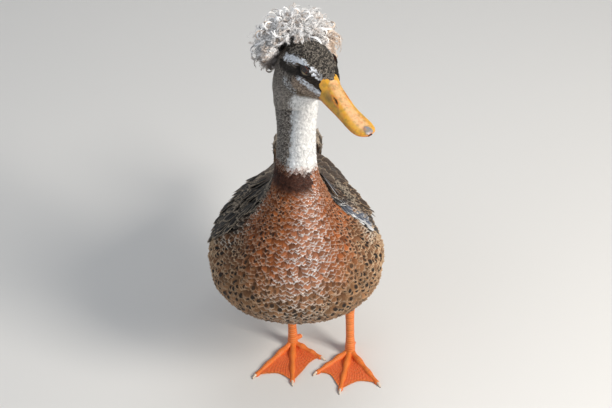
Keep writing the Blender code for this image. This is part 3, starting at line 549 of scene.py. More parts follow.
def fringe_blades(points, shares, t, reach):
    """Loose barb ends past the rim of each vane: their points and their places on the pattern."""
    rows, across = points.shape[1:3]
    places = [(rows - 1, c) for c in range(across)] + [(rows - 2, 0), (rows - 2, across - 1)]
    places += [(rows - 3, 0), (rows - 3, across - 1)]
    blades, patterns = [], []
    for row, column in places:
        base = points[:, row, column]
        ahead = unit(base - points[:, row - 1, column])
        inner = min(max(column, 1), across - 2)
        hand = np.sign(column - across // 2)
        outward = unit(points[:, row, across - 1] - points[:, row, 0]) * hand
        way = unit(ahead * (1.0 if row == rows - 1 else 0.8) + outward * 0.55)
        way = unit(way + 0.28 * seeded.standard_normal(way.shape))
        long = reach[:, None] * seeded.uniform(0.5, 1.3, (len(base), 1))
        wide = unit(points[:, row, inner + 1] - points[:, row, inner - 1]) * reach[:, None] * 0.42
        base = base - ahead * reach[:, None] * 0.3
        tip = base + way * long * 1.6
        blades.append(np.stack([base - wide, base + wide, tip + wide * 0.25, tip - wide * 0.25], 1))
        patterns.append([(shares[row, column] * 0.5 + 0.5, t[row] * 0.995)] * 4)
    return np.stack(blades, 1), np.array(patterns)


def vane_points(centre, normal, half, roll, cup, shares, ragged=0.0, length=0.0):
    """Points of many vanes from their middle lines, with half-widths, rolls, cups and lengths for each
    vane or for all."""
    count, across = len(centre), shares.shape[1]
    half, roll, cup, length = (
        np.broadcast_to(each, count)[:, None, None, None] for each in (half, roll, cup, length)
    )
    ahead = unit(np.gradient(centre, axis=1))
    side = unit(np.cross(normal, ahead))
    lift = unit(np.cross(ahead, side))
    reach = shares[None, :, :, None] * half
    sink = roll * reach - cup * reach * shares[None, :, :, None]
    points = centre[:, :, None] + side[:, :, None] * reach + lift[:, :, None] * sink
    if ragged:
        frayed = seeded.uniform(-1, 0.6, (count, across)) * ragged
        frayed *= 1 - 0.5 * np.abs(np.linspace(-1, 1, across))
        points[:, -1] += ahead[:, -1][:, None] * (frayed * length[:, 0, 0])[..., None]
    return points


def feather_piece(
    name, points, t, shares, roots, ground, edge, lace, spot, material, slot, fringe, chosen=slice(None)
):
    """Joins vanes, or the chosen ones, into one mesh with their pattern map, their bake patches and their
    colours, which are for each vane or for all."""
    total = len(points)
    ground, edge = (np.broadcast_to(each, (total, 3))[chosen] for each in (ground, edge))
    lace, spot, fringe = (np.broadcast_to(each, total)[chosen] for each in (lace, spot, fringe))
    points, roots = points[chosen], roots[chosen]
    count, rows, across = points.shape[:3]
    blades, blade_places = fringe_blades(points, shares, t, fringe)
    inner, extra = rows * across, blades.shape[1] * 4
    each = inner + extra
    points = np.concatenate([points.reshape(count, inner, 3), blades.reshape(count, extra, 3)], 1)
    along = np.broadcast_to(t[:, None], shares.shape)
    place = np.stack([shares * 0.5 + 0.5, along], -1).reshape(-1, 2)
    place = np.concatenate([place, blade_places.reshape(-1, 2)])
    begin = (np.arange(count) * each)[:, None, None]
    faces = np.concatenate([
        (quads + begin).reshape(-1, 4)
        for quads in (sheet_quads(rows, across), inner + np.arange(extra).reshape(-1, 4))
    ])
    patch = roots[:, None] + BAKE_PATCH * (place - 0.5)[None]
    place = np.broadcast_to(place, (count, each, 2))
    maps = {"Vane": place.reshape(-1, 2), "OFBake": patch.reshape(-1, 2)}
    marks = np.stack([lace, spot, seeded.uniform(0, 1, count)], -1)
    ground, edge, marks = (np.repeat(values, each, 0) for values in (ground, edge, marks))
    return laid(name, points, faces, material, ground, slot, maps, edge=edge, marks=marks)


pattern = bpy.data.node_groups.new("vane pattern", "ShaderNodeTree")
VANE_VALUES = ("Edge Width", "Barbs", "Spot Size", "Down And Shade", "Barb Count", "Tip", "Crescent")
for titles, way, kind in (
    (("Tint", "Edge", "Marks"), "INPUT", "NodeSocketColor"), (VANE_VALUES, "INPUT", "NodeSocketFloat"),
    (("Color",), "OUTPUT", "NodeSocketColor"), (("Height",), "OUTPUT", "NodeSocketFloat"),
):
    for title in titles:
        pattern.interface.new_socket(title, in_out=way, socket_type=kind)
times, plus, minus, divided, power, scaled, root_of = (
    partial(calc, pattern, kind)
    for kind in ("MULTIPLY", "ADD", "SUBTRACT", "DIVIDE", "POWER", "MULTIPLY_ADD", "SQRT")
)
eased, over = partial(ramp, pattern), partial(mixed, pattern)
given = pattern.nodes.new("NodeGroupInput").outputs
vane_map = node(pattern, "ShaderNodeUVMap", uv_map="Vane").outputs[0]
across, along, _ = node(pattern, "ShaderNodeSeparateXYZ", {0: vane_map}).outputs
laced, spotted, chance = node(pattern, "ShaderNodeSeparateColor", {0: given["Marks"]}).outputs
grain = noise(pattern, 1300.0)
across = scaled(across, 2.0, -1.0)
beside = calc(pattern, "ABSOLUTE", across)

# The pale edge round the tip, broken here and there.
past = divided(calc(pattern, "MAXIMUM", minus(along, given["Tip"]), 0.0), minus(1.0, given["Tip"]))
rim = plus(root_of(plus(power(across, 2.0), power(past, 2.0))), scaled(grain, 0.36, -0.18))
edge_mask = node(pattern, "ShaderNodeMapRange", {
    "Value": rim, "From Min": minus(0.98, given["Edge Width"]), "From Max": 0.97,
}).outputs[0]
broken = times(laced, scaled(eased(noise(pattern, 500.0), 0.36, 0.52), 0.55, 0.45))
crescent = plus(times(eased(along, 0.76, 0.92), given["Crescent"]), minus(1.0, given["Crescent"]))
edge_mask = times(times(edge_mask, broken), crescent)

# The dark drop near the tip, a little to one side.
spot_across = divided(minus(across, scaled(chance, 0.7, -0.35)), 0.36)
spot_along = divided(minus(along, 0.73), 0.155)
spot_far = divided(
    root_of(plus(power(spot_across, 2.0), power(spot_along, 2.0))),
    times(given["Spot Size"], scaled(chance, 0.6, 0.65)),
)
spot_far = plus(spot_far, scaled(grain, 0.5, -0.25))
spot_mask = times(minus(1.0, eased(spot_far, 0.72, 1.08)), spotted)

# The barbs, the shaft and the deeper colour of the root: partly the feather's downy base, partly
# painted shade where the feathers lie over one another.
comb = times(calc(pattern, "SINE", times(scaled(beside, 0.9, along), given["Barb Count"])), given["Barbs"])
shaft = minus(1.0, eased(beside, 0.02, 0.06))
root_down_and_shade = times(minus(1.0, eased(along, 0.40, 0.86)), given["Down And Shade"])
tint = given["Tint"]
deep = node(pattern, "ShaderNodeVectorMath", {0: tint, 1: tint}, operation="MULTIPLY").outputs[0]
colour = over(edge_mask, over(spot_mask, tint, BLACK), given["Edge"])
colour = over(root_down_and_shade, colour, over(0.8, tint, deep))
colour = over(times(shaft, 0.25), colour, (0.03, 0.02, 0.015))
value = times(scaled(comb, 0.09, 1.0), scaled(chance, 0.34, 0.83))
value = times(value, scaled(grain, 0.5, 0.75))
colour = node(pattern, "ShaderNodeHueSaturation", {"Color": colour, "Value": value}).outputs[0]
node(pattern, "NodeGroupOutput", {"Color": colour, "Height": scaled(shaft, 0.8, times(comb, 0.5))})


def plumage(
    name, edge_width, barbs, spot_size, down_and_shade_share, barb_count=150, tip=TIP_ROUND, rough=0.62, crescent=0.2
):
    """A finish for vanes with the shared pattern."""
    material, tree, shader = shader_of(name)
    values = dict(zip(VANE_VALUES, (edge_width, barbs, spot_size, down_and_shade_share, barb_count, tip, crescent)))
    values |= {title.title(): layer(tree, title) for title in ("tint", "edge", "marks")}
    made = node(tree, "ShaderNodeGroup", values, node_tree=pattern).outputs
    fill(tree, shader, {
        "Base Color": made["Color"], "Normal": bumped(tree, made["Height"], 0.35, 0.0004),
        "Roughness": rough, "Specular IOR Level": 0.15, "Sheen Weight": 0.03, "Sheen Roughness": 0.5,
    })
    return material


def rows_over(surface, first, last, row_gap, column_gap, spread=0.18):
    """Roots of feathers in offset rows over a ribbed form: places along it, round it and their row gap."""
    around = np.linspace(-math.pi, math.pi, 121)
    line = np.full(around.shape, float(first))
    way = 1 if last > first else -1
    found = []
    odd = 0.0
    while np.any((line - last) * way < 0):
        spots = surface(line, around)
        steps = np.linalg.norm(np.diff(spots, axis=0), axis=1)
        reach = np.concatenate([[0], np.cumsum(steps)])
        count = max(int(reach[-1] / column_gap(np.mean(line))), 8)
        places = (np.arange(count) + odd + seeded.uniform(-spread, spread, count)) / count * reach[-1]
        places = places % reach[-1]
        root_angle = np.interp(places, reach, around)
        root_u = np.interp(root_angle, around, line)
        keep = (root_u - last) * way < 0
        gap = row_gap(root_u)
        root_u = root_u + seeded.uniform(-0.2, 0.2, count) * gap * 0.15 * way
        found.append(np.stack([root_u, root_angle, gap])[:, keep])
        metric = np.linalg.norm(surface(line + 0.02, around) - surface(line - 0.02, around), axis=1) / 0.04
        line = line + way * row_gap(line) / np.maximum(metric, 1.0)
        odd = 0.5 - odd
    return np.concatenate(found, 1)


def lie_over(surface, sign, u, angle, length, tilt, lifts, t):
    """Middle lines of feathers that lie along a ribbed form, with their outward directions."""
    step = 0.02
    metric_u = np.linalg.norm(surface(u + step, angle) - surface(u - step, angle), axis=-1) / (2 * step)
    metric_a = np.linalg.norm(surface(u, angle + step) - surface(u, angle - step), axis=-1) / (2 * step)
    along = (np.cos(tilt) * length / np.maximum(metric_u, 1.0))[:, None] * t[None] * -sign
    round_it = (np.sin(tilt) * length / np.maximum(metric_a, 3.0))[:, None] * t[None]
    places_u, places_a = u[:, None] + along, angle[:, None] + round_it
    normal = normal_of(surface, places_u, places_a, -sign)
    return surface(places_u, places_a) + normal * lifts[..., None], normal


# Coat of the neck and body: rows of overlapping feathers that lie from the head towards the tail,
# small and close on the neck, broad on the breast and belly. The breast feathers are chestnut laced
# with white, those of the sides and belly buff with a black drop, and the back's brown with tan edges.
coat = plumage("body feathers", 0.31, 0.5, 1.25, 0.5, tip=0.64, crescent=0.85)
WING_FRONT, WING_END = 4.6, 14.4
WING_LOW, WING_LOW_END, WING_HIGH = 98.0, 140.0, 176.0


def wing_edge(u):
    """How far up the wing's lower edge lies at each rib, in degrees from the belly."""
    share = np.clip((u - WING_FRONT) / (WING_END - WING_FRONT), 0, 1)
    return WING_LOW + (WING_LOW_END - WING_LOW) * share**1.4


def row_gap(u):
    return np.interp(u, [0, 1.5, 2.6, 3.6, 5.0, 6.5, 9, 13], [1.35, 1.55, 2.3, 2.9, 3.5, 4.8, 6.0, 6.0])


u, angle, gap = rows_over(on_body, 0.0, RUMP - 0.3, row_gap, lambda u: row_gap(u) * 1.32)
off = np.abs(wrapped(angle))
under_wing = (u > 5.2) & (u < 13.6) & (off > wing_edge(u) + 4) & (off < 168)
under_wing |= (u > 13.2) & (off > 86)
u, angle, gap, off = (each[~under_wing] for each in (u, angle, gap, off))
count = len(u)
draw = seeded.uniform(0, 1, count)
ground, edge, lace, spot = body_colours(u, angle, draw)
varied = np.clip(seeded.normal(0, 0.19, count), -0.45, 0.45) * np.where(u < 1.9, 0.35, 1.0)
ground = ground * (1 + varied[:, None])
behind = smooth(92, 106, off) * smooth(3.6, 4.2, u)
length = gap * (3.4 + 1.8 * behind) * seeded.uniform(0.88, 1.15, count)
half = gap * (0.92 + 0.30 * smooth(1.4, 2.8, u) + 0.12 * behind) * seeded.uniform(0.9, 1.1, count)
by_wing = smooth(-22, -6, off - wing_edge(u)) * smooth(5.2, 6.2, u) * (1 - smooth(10.0, 12.5, u))
shoulder = smooth(88, 104, off) * smooth(3.9, 4.7, u) * (1 - smooth(5.9, 6.4, u))
flank = smooth(55, 80, off) * (1 - smooth(100, 114, off)) * smooth(5.0, 6.0, u) * (1 - smooth(8.5, 10.5, u))
front = smooth(98, 116, off) * smooth(4.0, 4.8, u) * (1 - smooth(5.9, 6.3, u))
raised = np.maximum(np.maximum(by_wing * 4.2, shoulder * 5.5), front * 8.0) + flank * 3.0
upward = np.sign(np.sin(angle)) * by_wing * 0.42
tilt = seeded.normal(0, 0.13, count) + upward
t, shares = vane_shape(7, 5, 0.64)
start = -np.minimum(2.6, 0.8 + 0.32 * gap)
end = 0.05 + 0.15 * gap + seeded.normal(0, 0.22, count) * np.minimum(gap / 4, 1)
lifts = start[:, None] + (end + raised - start)[:, None] * t[None] ** 1.15
centre, normal = lie_over(on_body, -1, u, angle, length, tilt, lifts, t)
points = vane_points(centre, normal, half, seeded.normal(0, 0.10, count), 0.22, shares, 0.05, length)
for number, chosen in enumerate(np.array_split(np.argsort(u), 4)):
    feather_piece(
        f"coat_body_{number + 1}", points, t, shares, body_place(u, angle), ground, edge, lace, spot, coat,
        "plumage", 0.11 * length**0.7, chosen,
    )


# Shoulder feathers: long feathers from beside the back that hang out over the front of each folded wing,
# with thin pale edges: dark brown on the left and near black on the right, the right's darker ground
# painted shade. Slate and white ones lie at the edge of the breast on the left.
SLATE_OFF, SHOULDER_BROWN = 122, (0.050, 0.030, 0.020)
shoulder_vane = plumage("shoulder feathers", 0.24, 0.6, 1.0, 0.2, 300, 0.6, 0.55, 0.1)
u, angle, gap = rows_over(on_body, 3.7, 6.6, lambda u: 3.4 + 0 * u, lambda u: 4.2)
off = np.abs(wrapped(angle))
slate = (np.sin(angle) > 0) & (off < SLATE_OFF)
keep = slate | (seeded.uniform(0, 1, len(u)) > 0.54)
u, angle, off = u[keep], angle[keep], off[keep]
keep = (off > np.interp(u, [3.7, 4.8, 6.6], [112, 106, 110])) & (off < 162)
keep &= (np.sin(angle) < 0) | (u < 5.7) | (off > 124)
u, angle, off = u[keep], angle[keep], off[keep]
count = len(u)
draw = seeded.uniform(0, 1, count)
on_left = np.sin(angle) > 0
lean = np.interp(off, [100, 112, 140, 160], [12, 40, 56, 50]) * np.where(on_left, 0.55, 1.0)
tilt = -np.sign(np.sin(angle)) * np.radians(lean + seeded.normal(0, 8, count))
slate = on_left & (off < SLATE_OFF)
length = seeded.uniform(19, 25, count) * (1 - 0.4 * slate)
half = seeded.uniform(3.8, 4.9, count) * (1 - 0.42 * slate)
raised = np.interp(u, [3.7, 4.5, 5.3, 6.6], [2.0, 5.0, 9.0, 10.5]) + seeded.normal(0, 0.5, count)
lifts = (raised - 3.5)[:, None] + (3.5 + seeded.normal(0, 0.5, count))[:, None] * t[None]
centre, normal = lie_over(on_body, -1, u, angle, length, tilt, lifts, t)
points = vane_points(centre, normal, half, seeded.normal(0, 0.16, count), 0.25, shares, 0.1, length)
at_edge = on_left * smooth(SLATE_OFF, SLATE_OFF - 6, off)
# The right side's near black ground, darker than the left's brown, is painted shade.
ground = blend((0.015, 0.013, 0.012), SHOULDER_BROWN, on_left)
ground = blend(ground, (0.030, 0.025, 0.023), at_edge)
ground = blend(ground, (0.095, 0.112, 0.150), at_edge * smooth(4.3, 4.7, u))
ground = blend(ground, (0.62, 0.62, 0.62), on_left * smooth(111, 108, off) * (draw > 0.55))
edge = blend((0.46, 0.37, 0.27), (0.46, 0.32, 0.20), on_left * smooth(118, 124, off))
edge = blend(edge, (0.72, 0.72, 0.72), at_edge)
for side_name, chosen in (("left", on_left), ("right", ~on_left)):
    feather_piece(
        "shoulder_feathers_" + side_name, points, t, shares, body_place(u, angle), ground, edge,
        seeded.uniform(0.7, 1.0, count), 0, shoulder_vane, "plumage", 0.5, chosen,
    )

# The uppermost of them on the left are slim, and the front one is grey with a white edge that shows as a
# stripe.
t_long, shares_long = vane_shape(12, 7, 0.6)
share = np.linspace(0, 1, 4)
begin = share[:, None]
stripe_u = 3.66 - 0.20 * begin + (1.45 - 0.71 * begin) * t_long[None]
stripe_angle = np.radians(155 - 19 * begin - (13 + 11 * begin) * t_long[None])
normal = normal_of(on_body, stripe_u, stripe_angle)
lifts = 2.5 + (3.5 - 0.8 * begin) * t_long[None] ** 0.7
centre = on_body(stripe_u, stripe_angle) + normal * lifts[..., None]
points = vane_points(centre, normal, (3.8, 3.6, 3.4, 3.0), -0.1, 0.2, shares_long)
feather_piece(
    "shoulder_feathers_striped", points, t_long, shares_long,
    body_place(stripe_u[:, 0], stripe_angle[:, 0]), blend(SHOULDER_BROWN, (0.22, 0.25, 0.30), share**3),
    blend((0.38, 0.30, 0.22), WHITE, share**3), (0.5, 0.5, 0.5, 1.0), 0, shoulder_vane, "plumage", 0.5,
)


# Thigh feathers: soft short feathers round each thigh, down to the hock. They are pale tan with cream
# edges, lie over the thigh's skin and end at the bare leg.
THIGH_FEATHER = 10.0
for side_name in HEELS:
    surface = on_thigh(side_name)
    u, angle, gap = rows_over(surface, 0.05, 0.93, lambda u: 4.0 + 0 * u, lambda u: 4.4)
    u = np.clip(u, 0.03, 0.97)
    count = len(u)
    ground = np.array(PALE_TAN) * (1 + seeded.normal(0, 0.08, (count, 1)))
    lifts = (-0.8 + 1.6 * t[None]) * np.ones((count, 1))
    length = np.minimum(THIGH_FEATHER, (1.02 - u) * 46)
    centre, normal = lie_over(surface, -1, u, angle, length, 0.0, lifts, t)
    points = vane_points(centre, normal, 3.6, 0, 0.2, shares, 0.06, THIGH_FEATHER)
    roots = np.stack([(angle / math.tau) % 1, 0.1 + 0.8 * u], -1)
    feather_piece(
        "coat_thigh_" + side_name, points, t, shares, roots, ground, CREAM, 0.4,
        0.5 * (seeded.uniform(0, 1, count) > 0.6), coat, "plumage", 0.7,
    )


# Coat of the head: the smallest feathers of all, lying back from the bill. A dark crown, a pale brow,
# a black line through the eye, a second pale stripe, a flecked cheek and a white throat.
face = plumage("head feathers", 0.40, 0.2, 1.0, 0.2)
u, angle, gap = rows_over(on_head, BILL_END + 0.02, 0.0, lambda u: 1.25 + 0.06 * (8 - u), lambda u: 1.6)
side, forward, height = rib_point(HEAD_RIBS, u, angle)
eye_gap = np.hypot((forward - EYE_AT[0]) / 1.25, height - EYE_AT[1])
keep = (u > 0.04) & (eye_gap > 4.4) & ~((wedge_reach(angle) < -0.6) & (u > 7.85))
u, angle = u[keep], angle[keep]
WEDGE_FEATHERS = 260
wedge_angle = math.pi + np.radians(seeded.uniform(-25, 25, WEDGE_FEATHERS))
wedge_along = seeded.uniform(0, 1, WEDGE_FEATHERS) * np.maximum(wedge_reach(wedge_angle) - 0.5, 0)
ahead = np.concatenate([np.zeros(len(u)), wedge_along])
u = np.concatenate([u, np.full(WEDGE_FEATHERS, BILL_END)])
angle = np.concatenate([angle, wedge_angle])
side, forward, height = rib_point(HEAD_RIBS, np.clip(u - 0.26, 0, BILL_END), angle)
count = len(u)
draw = seeded.uniform(0, 1, count)
ground, edge, lace, spot = head_colours(forward, side, height, draw)
ground = ground * (1 + seeded.normal(0, 0.10, (count, 1)))
length = (4.2 + 0.22 * (8 - u)) * seeded.uniform(0.85, 1.15, count)
half = 1.12 * seeded.uniform(0.85, 1.15, count)
t_small, shares_small = vane_shape(6, 5)
rise = np.interp(u, [0.0, 0.4, 1.2], [0.85, 1.0, 1.2])
lifts = (-0.9 + (rise + seeded.normal(0, 0.12, count))[:, None] * t_small[None])
lie = seeded.normal(0, 0.10, count)
centre, normal = lie_over(on_head, 1, u, angle, length, lie, lifts, t_small)
centre = centre + ahead[:, None, None] * WEDGE_WAY
points = vane_points(centre, normal, half, seeded.normal(0, 0.12, count), 0.2, shares_small, 0.06, length)
for number, chosen in enumerate(np.array_split(np.arange(count), 2)):
    feather_piece(
        f"coat_head_{number + 1}", points, t_small, shares_small, head_place(u, angle), ground, edge, lace,
        spot, face, "plumage", 0.34, chosen,
    )


# Crest: a round tuft of loose white down feathers on the back of the crown. Their barbs don't hook
# together, so each is a soft curled plume, and the tips roll over in all directions.
CREST_AT = np.array([-8.0, 5.0, 385.0])
CREST_RADII = np.array([32.0, 38.0, 30.0])
CREST_TILT = math.radians(-22)
CREST_FRONT = ((18.0, 402.0), (-12.0, 355.0))


def crest_ways(polar, azimuth):
    """Outward, falling and sideways directions of the crest in the head's frame."""
    cos, sin = math.cos(CREST_TILT), math.sin(CREST_TILT)
    turn = np.array([(cos, 0, sin), (0, 1, 0), (-sin, 0, cos)])
    out = np.stack([np.sin(polar) * np.cos(azimuth), np.sin(polar) * np.sin(azimuth), np.cos(polar)], -1)
    fall = np.stack([np.cos(polar) * np.cos(azimuth), np.cos(polar) * np.sin(azimuth), -np.sin(polar)], -1)
    return out @ turn.T, fall @ turn.T, np.cross(out, fall) @ turn.T


def crest_reach(out):
    return 1 / np.sqrt(((out / CREST_RADII) ** 2).sum(-1))


def plume_mesh(name, centre, normal, half, colours, tips, barbs, material):
    """Loose plumes: separate barbs along both sides of a middle line, each a fine tapered blade."""
    count, rows = centre.shape[:2]
    ahead = unit(np.gradient(centre, axis=1))
    side = unit(np.cross(normal, ahead))
    at = np.linspace(0.10, 0.985, barbs) * (rows - 1)
    low = np.clip(np.floor(at).astype(int), 0, rows - 2)
    part = (at - low)[None, :, None]

    def along_shaft(values):
        return values[:, low] * (1 - part) + values[:, low + 1] * part

    base, forward_way, outward, up = (along_shaft(each) for each in (centre, ahead, side, unit(normal)))
    share = at / (rows - 1)
    profile = np.sin(np.pi * np.clip(share * 0.86 + 0.10, 0, 1)) ** 0.7
    pieces, tints = [], []
    for hand in (-1, 1):
        long = half[:, None] * profile[None] * seeded.uniform(0.6, 1.3, (count, barbs))
        lean = np.radians(44 + 16 * seeded.standard_normal((count, barbs)) - 16 * share[None])[..., None]
        droop = seeded.normal(-0.1, 0.5, (count, barbs))[..., None]
        way = unit(outward * hand * np.sin(lean) * 1.25 + forward_way * np.cos(lean) + up * droop)
        wide = unit(np.cross(way, up + 0.5 * seeded.standard_normal(way.shape))) * 0.17
        tip = base + way * long[..., None] * 1.15
        pieces.append(np.stack([base - wide, base + wide, tip], 2))
        tints.append(np.broadcast_to(share[None, :, None], (count, barbs, 3)))
    blades = np.concatenate(pieces, 1)
    blends = np.concatenate(tints, 1)
    number = blades.shape[0] * blades.shape[1]
    shown = blends[..., None] * tips[:, None, None] + (1 - blends[..., None]) * colours[:, None, None]
    roots = centre[:, 0]
    flat = np.stack([roots[:, 0] - roots[:, 0].min(), roots[:, 1] - roots[:, 1].min()], -1)
    flat = 0.05 + 0.9 * flat / flat.max()
    offset = np.array([(-0.3, 0), (0.3, 0), (0, 1.0)]) * BAKE_PATCH
    patch = (flat[:, None, None] + offset[None, None]) * np.ones((1, blades.shape[1], 1, 1))
    maps = {"OFBake": patch.reshape(-1, 2)}
    return laid(name, blades, np.arange(number * 3).reshape(-1, 3), material, shown, "crest_down", maps)


loose, tree, shader = shader_of("loose crest feathers")
tint = layer(tree, "tint")
mottle = ramp(tree, noise(tree, 260.0, 3.0), 0.58, 0.74)
fill(tree, shader, {
    "Base Color": mixed(tree, mottle, tint, mixed(tree, 0.3, tint, (0.34, 0.25, 0.18))),
    "Roughness": 0.75, "Sheen Weight": 0.25,
})

CREST_LOW = math.radians(140)


def curled_paths(count, rows, depth, reach, lean_most, curl, curl_spread):
    """Middle lines of crest feathers in the head's frame, from inside the tuft to its outline."""
    polar = np.arccos(1 - seeded.uniform(0, 1, count) * (1 - math.cos(CREST_LOW)))
    azimuth = seeded.uniform(0, math.tau, count)
    out, fall, across = crest_ways(polar * 0.93, azimuth)
    far = crest_reach(crest_ways(polar, azimuth)[0])
    start = CREST_AT + out * (far * seeded.uniform(*depth, count))[:, None]
    sway = seeded.normal(0, 0.9, count)[:, None]
    bend_way = unit(fall * np.cos(sway) + across * np.sin(sway))
    t = np.linspace(0, 1, rows)
    psi = np.radians(seeded.uniform(0, lean_most, count))[:, None] * (0.4 + 0.6 * t[None])
    psi = psi + np.radians(seeded.normal(curl, curl_spread, count))[:, None] * t[None] ** 2.2
    ways = out[:, None] * np.cos(psi)[..., None] + bend_way[:, None] * np.sin(psi)[..., None]
    gone = np.linalg.norm(start - CREST_AT, axis=1)
    gain = np.maximum(np.cos(psi).mean(1), 0.35)
    long = np.clip((far * seeded.uniform(*reach, count) - gone) / gain, 6, 26)
    path = start[:, None] + np.concatenate([
        np.zeros((count, 1, 3)), np.cumsum(ways[:, :-1] * (long / (rows - 1))[:, None, None], 1)
    ], 1)
    normal = out[:, None] * np.sin(psi)[..., None] - bend_way[:, None] * np.cos(psi)[..., None]
    roll = seeded.normal(0, 0.6, count)[:, None, None]
    turned = unit(normal * np.cos(roll) + np.cross(ways, normal) * np.sin(roll))
    (top_f, top_z), (low_f, low_z) = CREST_FRONT
    slope = math.atan2(top_f - low_f, top_z - low_z)
    ahead_of = (path[..., 0] - low_f) * math.cos(slope) - (path[..., 2] - low_z) * math.sin(slope)
    limit = np.interp(path[..., 1], [-20, -12, -3, 12, 20, 34], [-12, -8, 1, 5, 9, 20])
    keep = ((ahead_of - limit).max(1) < 2.0) & (path[..., 2].min(1) > 350)
    return path[keep], turned[keep]


def out_of_head(path, turned):
    """Places and directions in the head's frame, in the body's."""
    return from_head(*np.moveaxis(path, -1, 0)), from_head(*np.moveaxis(turned, -1, 0)) - from_head(0, 0, 0)


DOWN_WHITE = (0.96, 0.955, 0.95)
fluffy, fluffy_turned = curled_paths(3100, 10, (0.45, 0.82), (0.90, 1.0), 50, 24, 34)
curly, curly_turned = curled_paths(170, 10, (0.66, 0.84), (1.0, 1.10), 35, 120, 40)
path, turned = np.concatenate([fluffy, curly]), np.concatenate([fluffy_turned, curly_turned])
plumes = len(path)
half = np.concatenate([seeded.uniform(1.9, 3.6, len(fluffy)), seeded.uniform(1.3, 2.1, len(curly))])
tip_at = path[:, -1]
# Low on the lit side the tips turn tan, partly their own tan and partly painted warm light; low on the side
# away from the light they turn dark brown, a brown underside deepened with painted shade.
low_shaded_side = smooth(387, 371, tip_at[:, 2] + seeded.normal(0, 3, plumes))
lit_side = smooth(8, 34, tip_at[:, 1])
tips = blend(DOWN_WHITE, (0.70, 0.50, 0.33), 0.8 * lit_side * smooth(408, 388, tip_at[:, 2]))
patches = np.sin(tip_at[:, 0] * 0.30 + 1) * np.sin(tip_at[:, 1] * 0.26 + 0.6)
patches = patches + 0.4 * seeded.normal(0, 1, plumes)
tips = blend(tips, (0.66, 0.48, 0.33), 0.55 * smooth(0.4, 0.9, patches))
tips = blend(tips, (0.17, 0.11, 0.07), 0.9 * low_shaded_side * (1 - lit_side))
tips = blend(tips, (0.30, 0.19, 0.12), 0.85 * (seeded.uniform(0, 1, plumes) > 0.93))
inner = blend(tips, (0.90, 0.89, 0.91), np.full(plumes, 0.5))
spots, normals = out_of_head(path, turned)
for number, chosen in enumerate(np.array_split(seeded.permutation(plumes), 3)):
    piece = plume_mesh(
        f"crest_plumes_{number + 1}", spots[chosen], normals[chosen], half[chosen], inner[chosen],
        tips[chosen], 56, loose,
    )
    if number == 0:
        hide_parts("crest")

# Over the tuft, most of them behind and at its sides, lie longer feathers whose tips roll right round
# into ringlets.
path, turned = curled_paths(170, 16, (0.72, 0.88), (1.0, 1.09), 30, 235, 35)
keep = (path[:, 0, 0] < CREST_AT[0] - 5) | (seeded.uniform(0, 1, len(path)) > 0.65)
path, turned = path[keep], turned[keep]
ringlets = len(path)
t_long, shares_long = vane_shape(16, 5, 0.8, 0.7)
spots, normals = out_of_head(path, turned)
half = seeded.uniform(0.7, 1.15, ringlets)
points = vane_points(spots, normals, half, 0, 0.8, shares_long)
tips = blend(DOWN_WHITE, (0.62, 0.45, 0.31), 0.8 * (seeded.uniform(0, 1, ringlets) > 0.8))
# Low on the side away from the light the tips turn dark brown: painted shade over a brown underside.
low_shaded_side = smooth(386, 370, path[:, -1, 2])
tips = blend(tips, (0.24, 0.16, 0.10), 0.8 * low_shaded_side * (1 - smooth(8, 34, path[:, -1, 1])))
flat = path[:, 0, :2] - path[:, 0, :2].min(0)
feather_piece(
    "crest_ringlets", points, t_long, shares_long, 0.05 + 0.9 * flat / flat.max(), tips, tips, 0, 0, loose,
    "crest_down", 0.6,
)


# Wings: folded over the body, their feathers in tiers from the primaries up to the scapulars, each tier
# lapped over the roots of the one behind it. They are dark brown edged with tan, with blue-grey
# secondaries tipped white.
quill = plumage("wing feathers", 0.13, 0.8, 1.0, 0.15, 620, 0.72, 0.5)
covert = plumage("wing coverts", 0.17, 0.6, 1.0, 0.3, 260, 0.55, 0.55)
WING_CLEAR, WING_CLEAR_FROM, LOWEST, ROOT_LIFT, ARM_END = 4.0, 12.3, 2.9, 1.6, 0.62
HUNCH = {"left": 12.0, "right": 0.0}
SLATE, DUSKY, BISTRE = (0.16, 0.18, 0.23), (0.050, 0.043, 0.038), (0.060, 0.038, 0.025)
PALE_EDGE, TAN_EDGE = (0.62, 0.58, 0.52), (0.36, 0.27, 0.18)
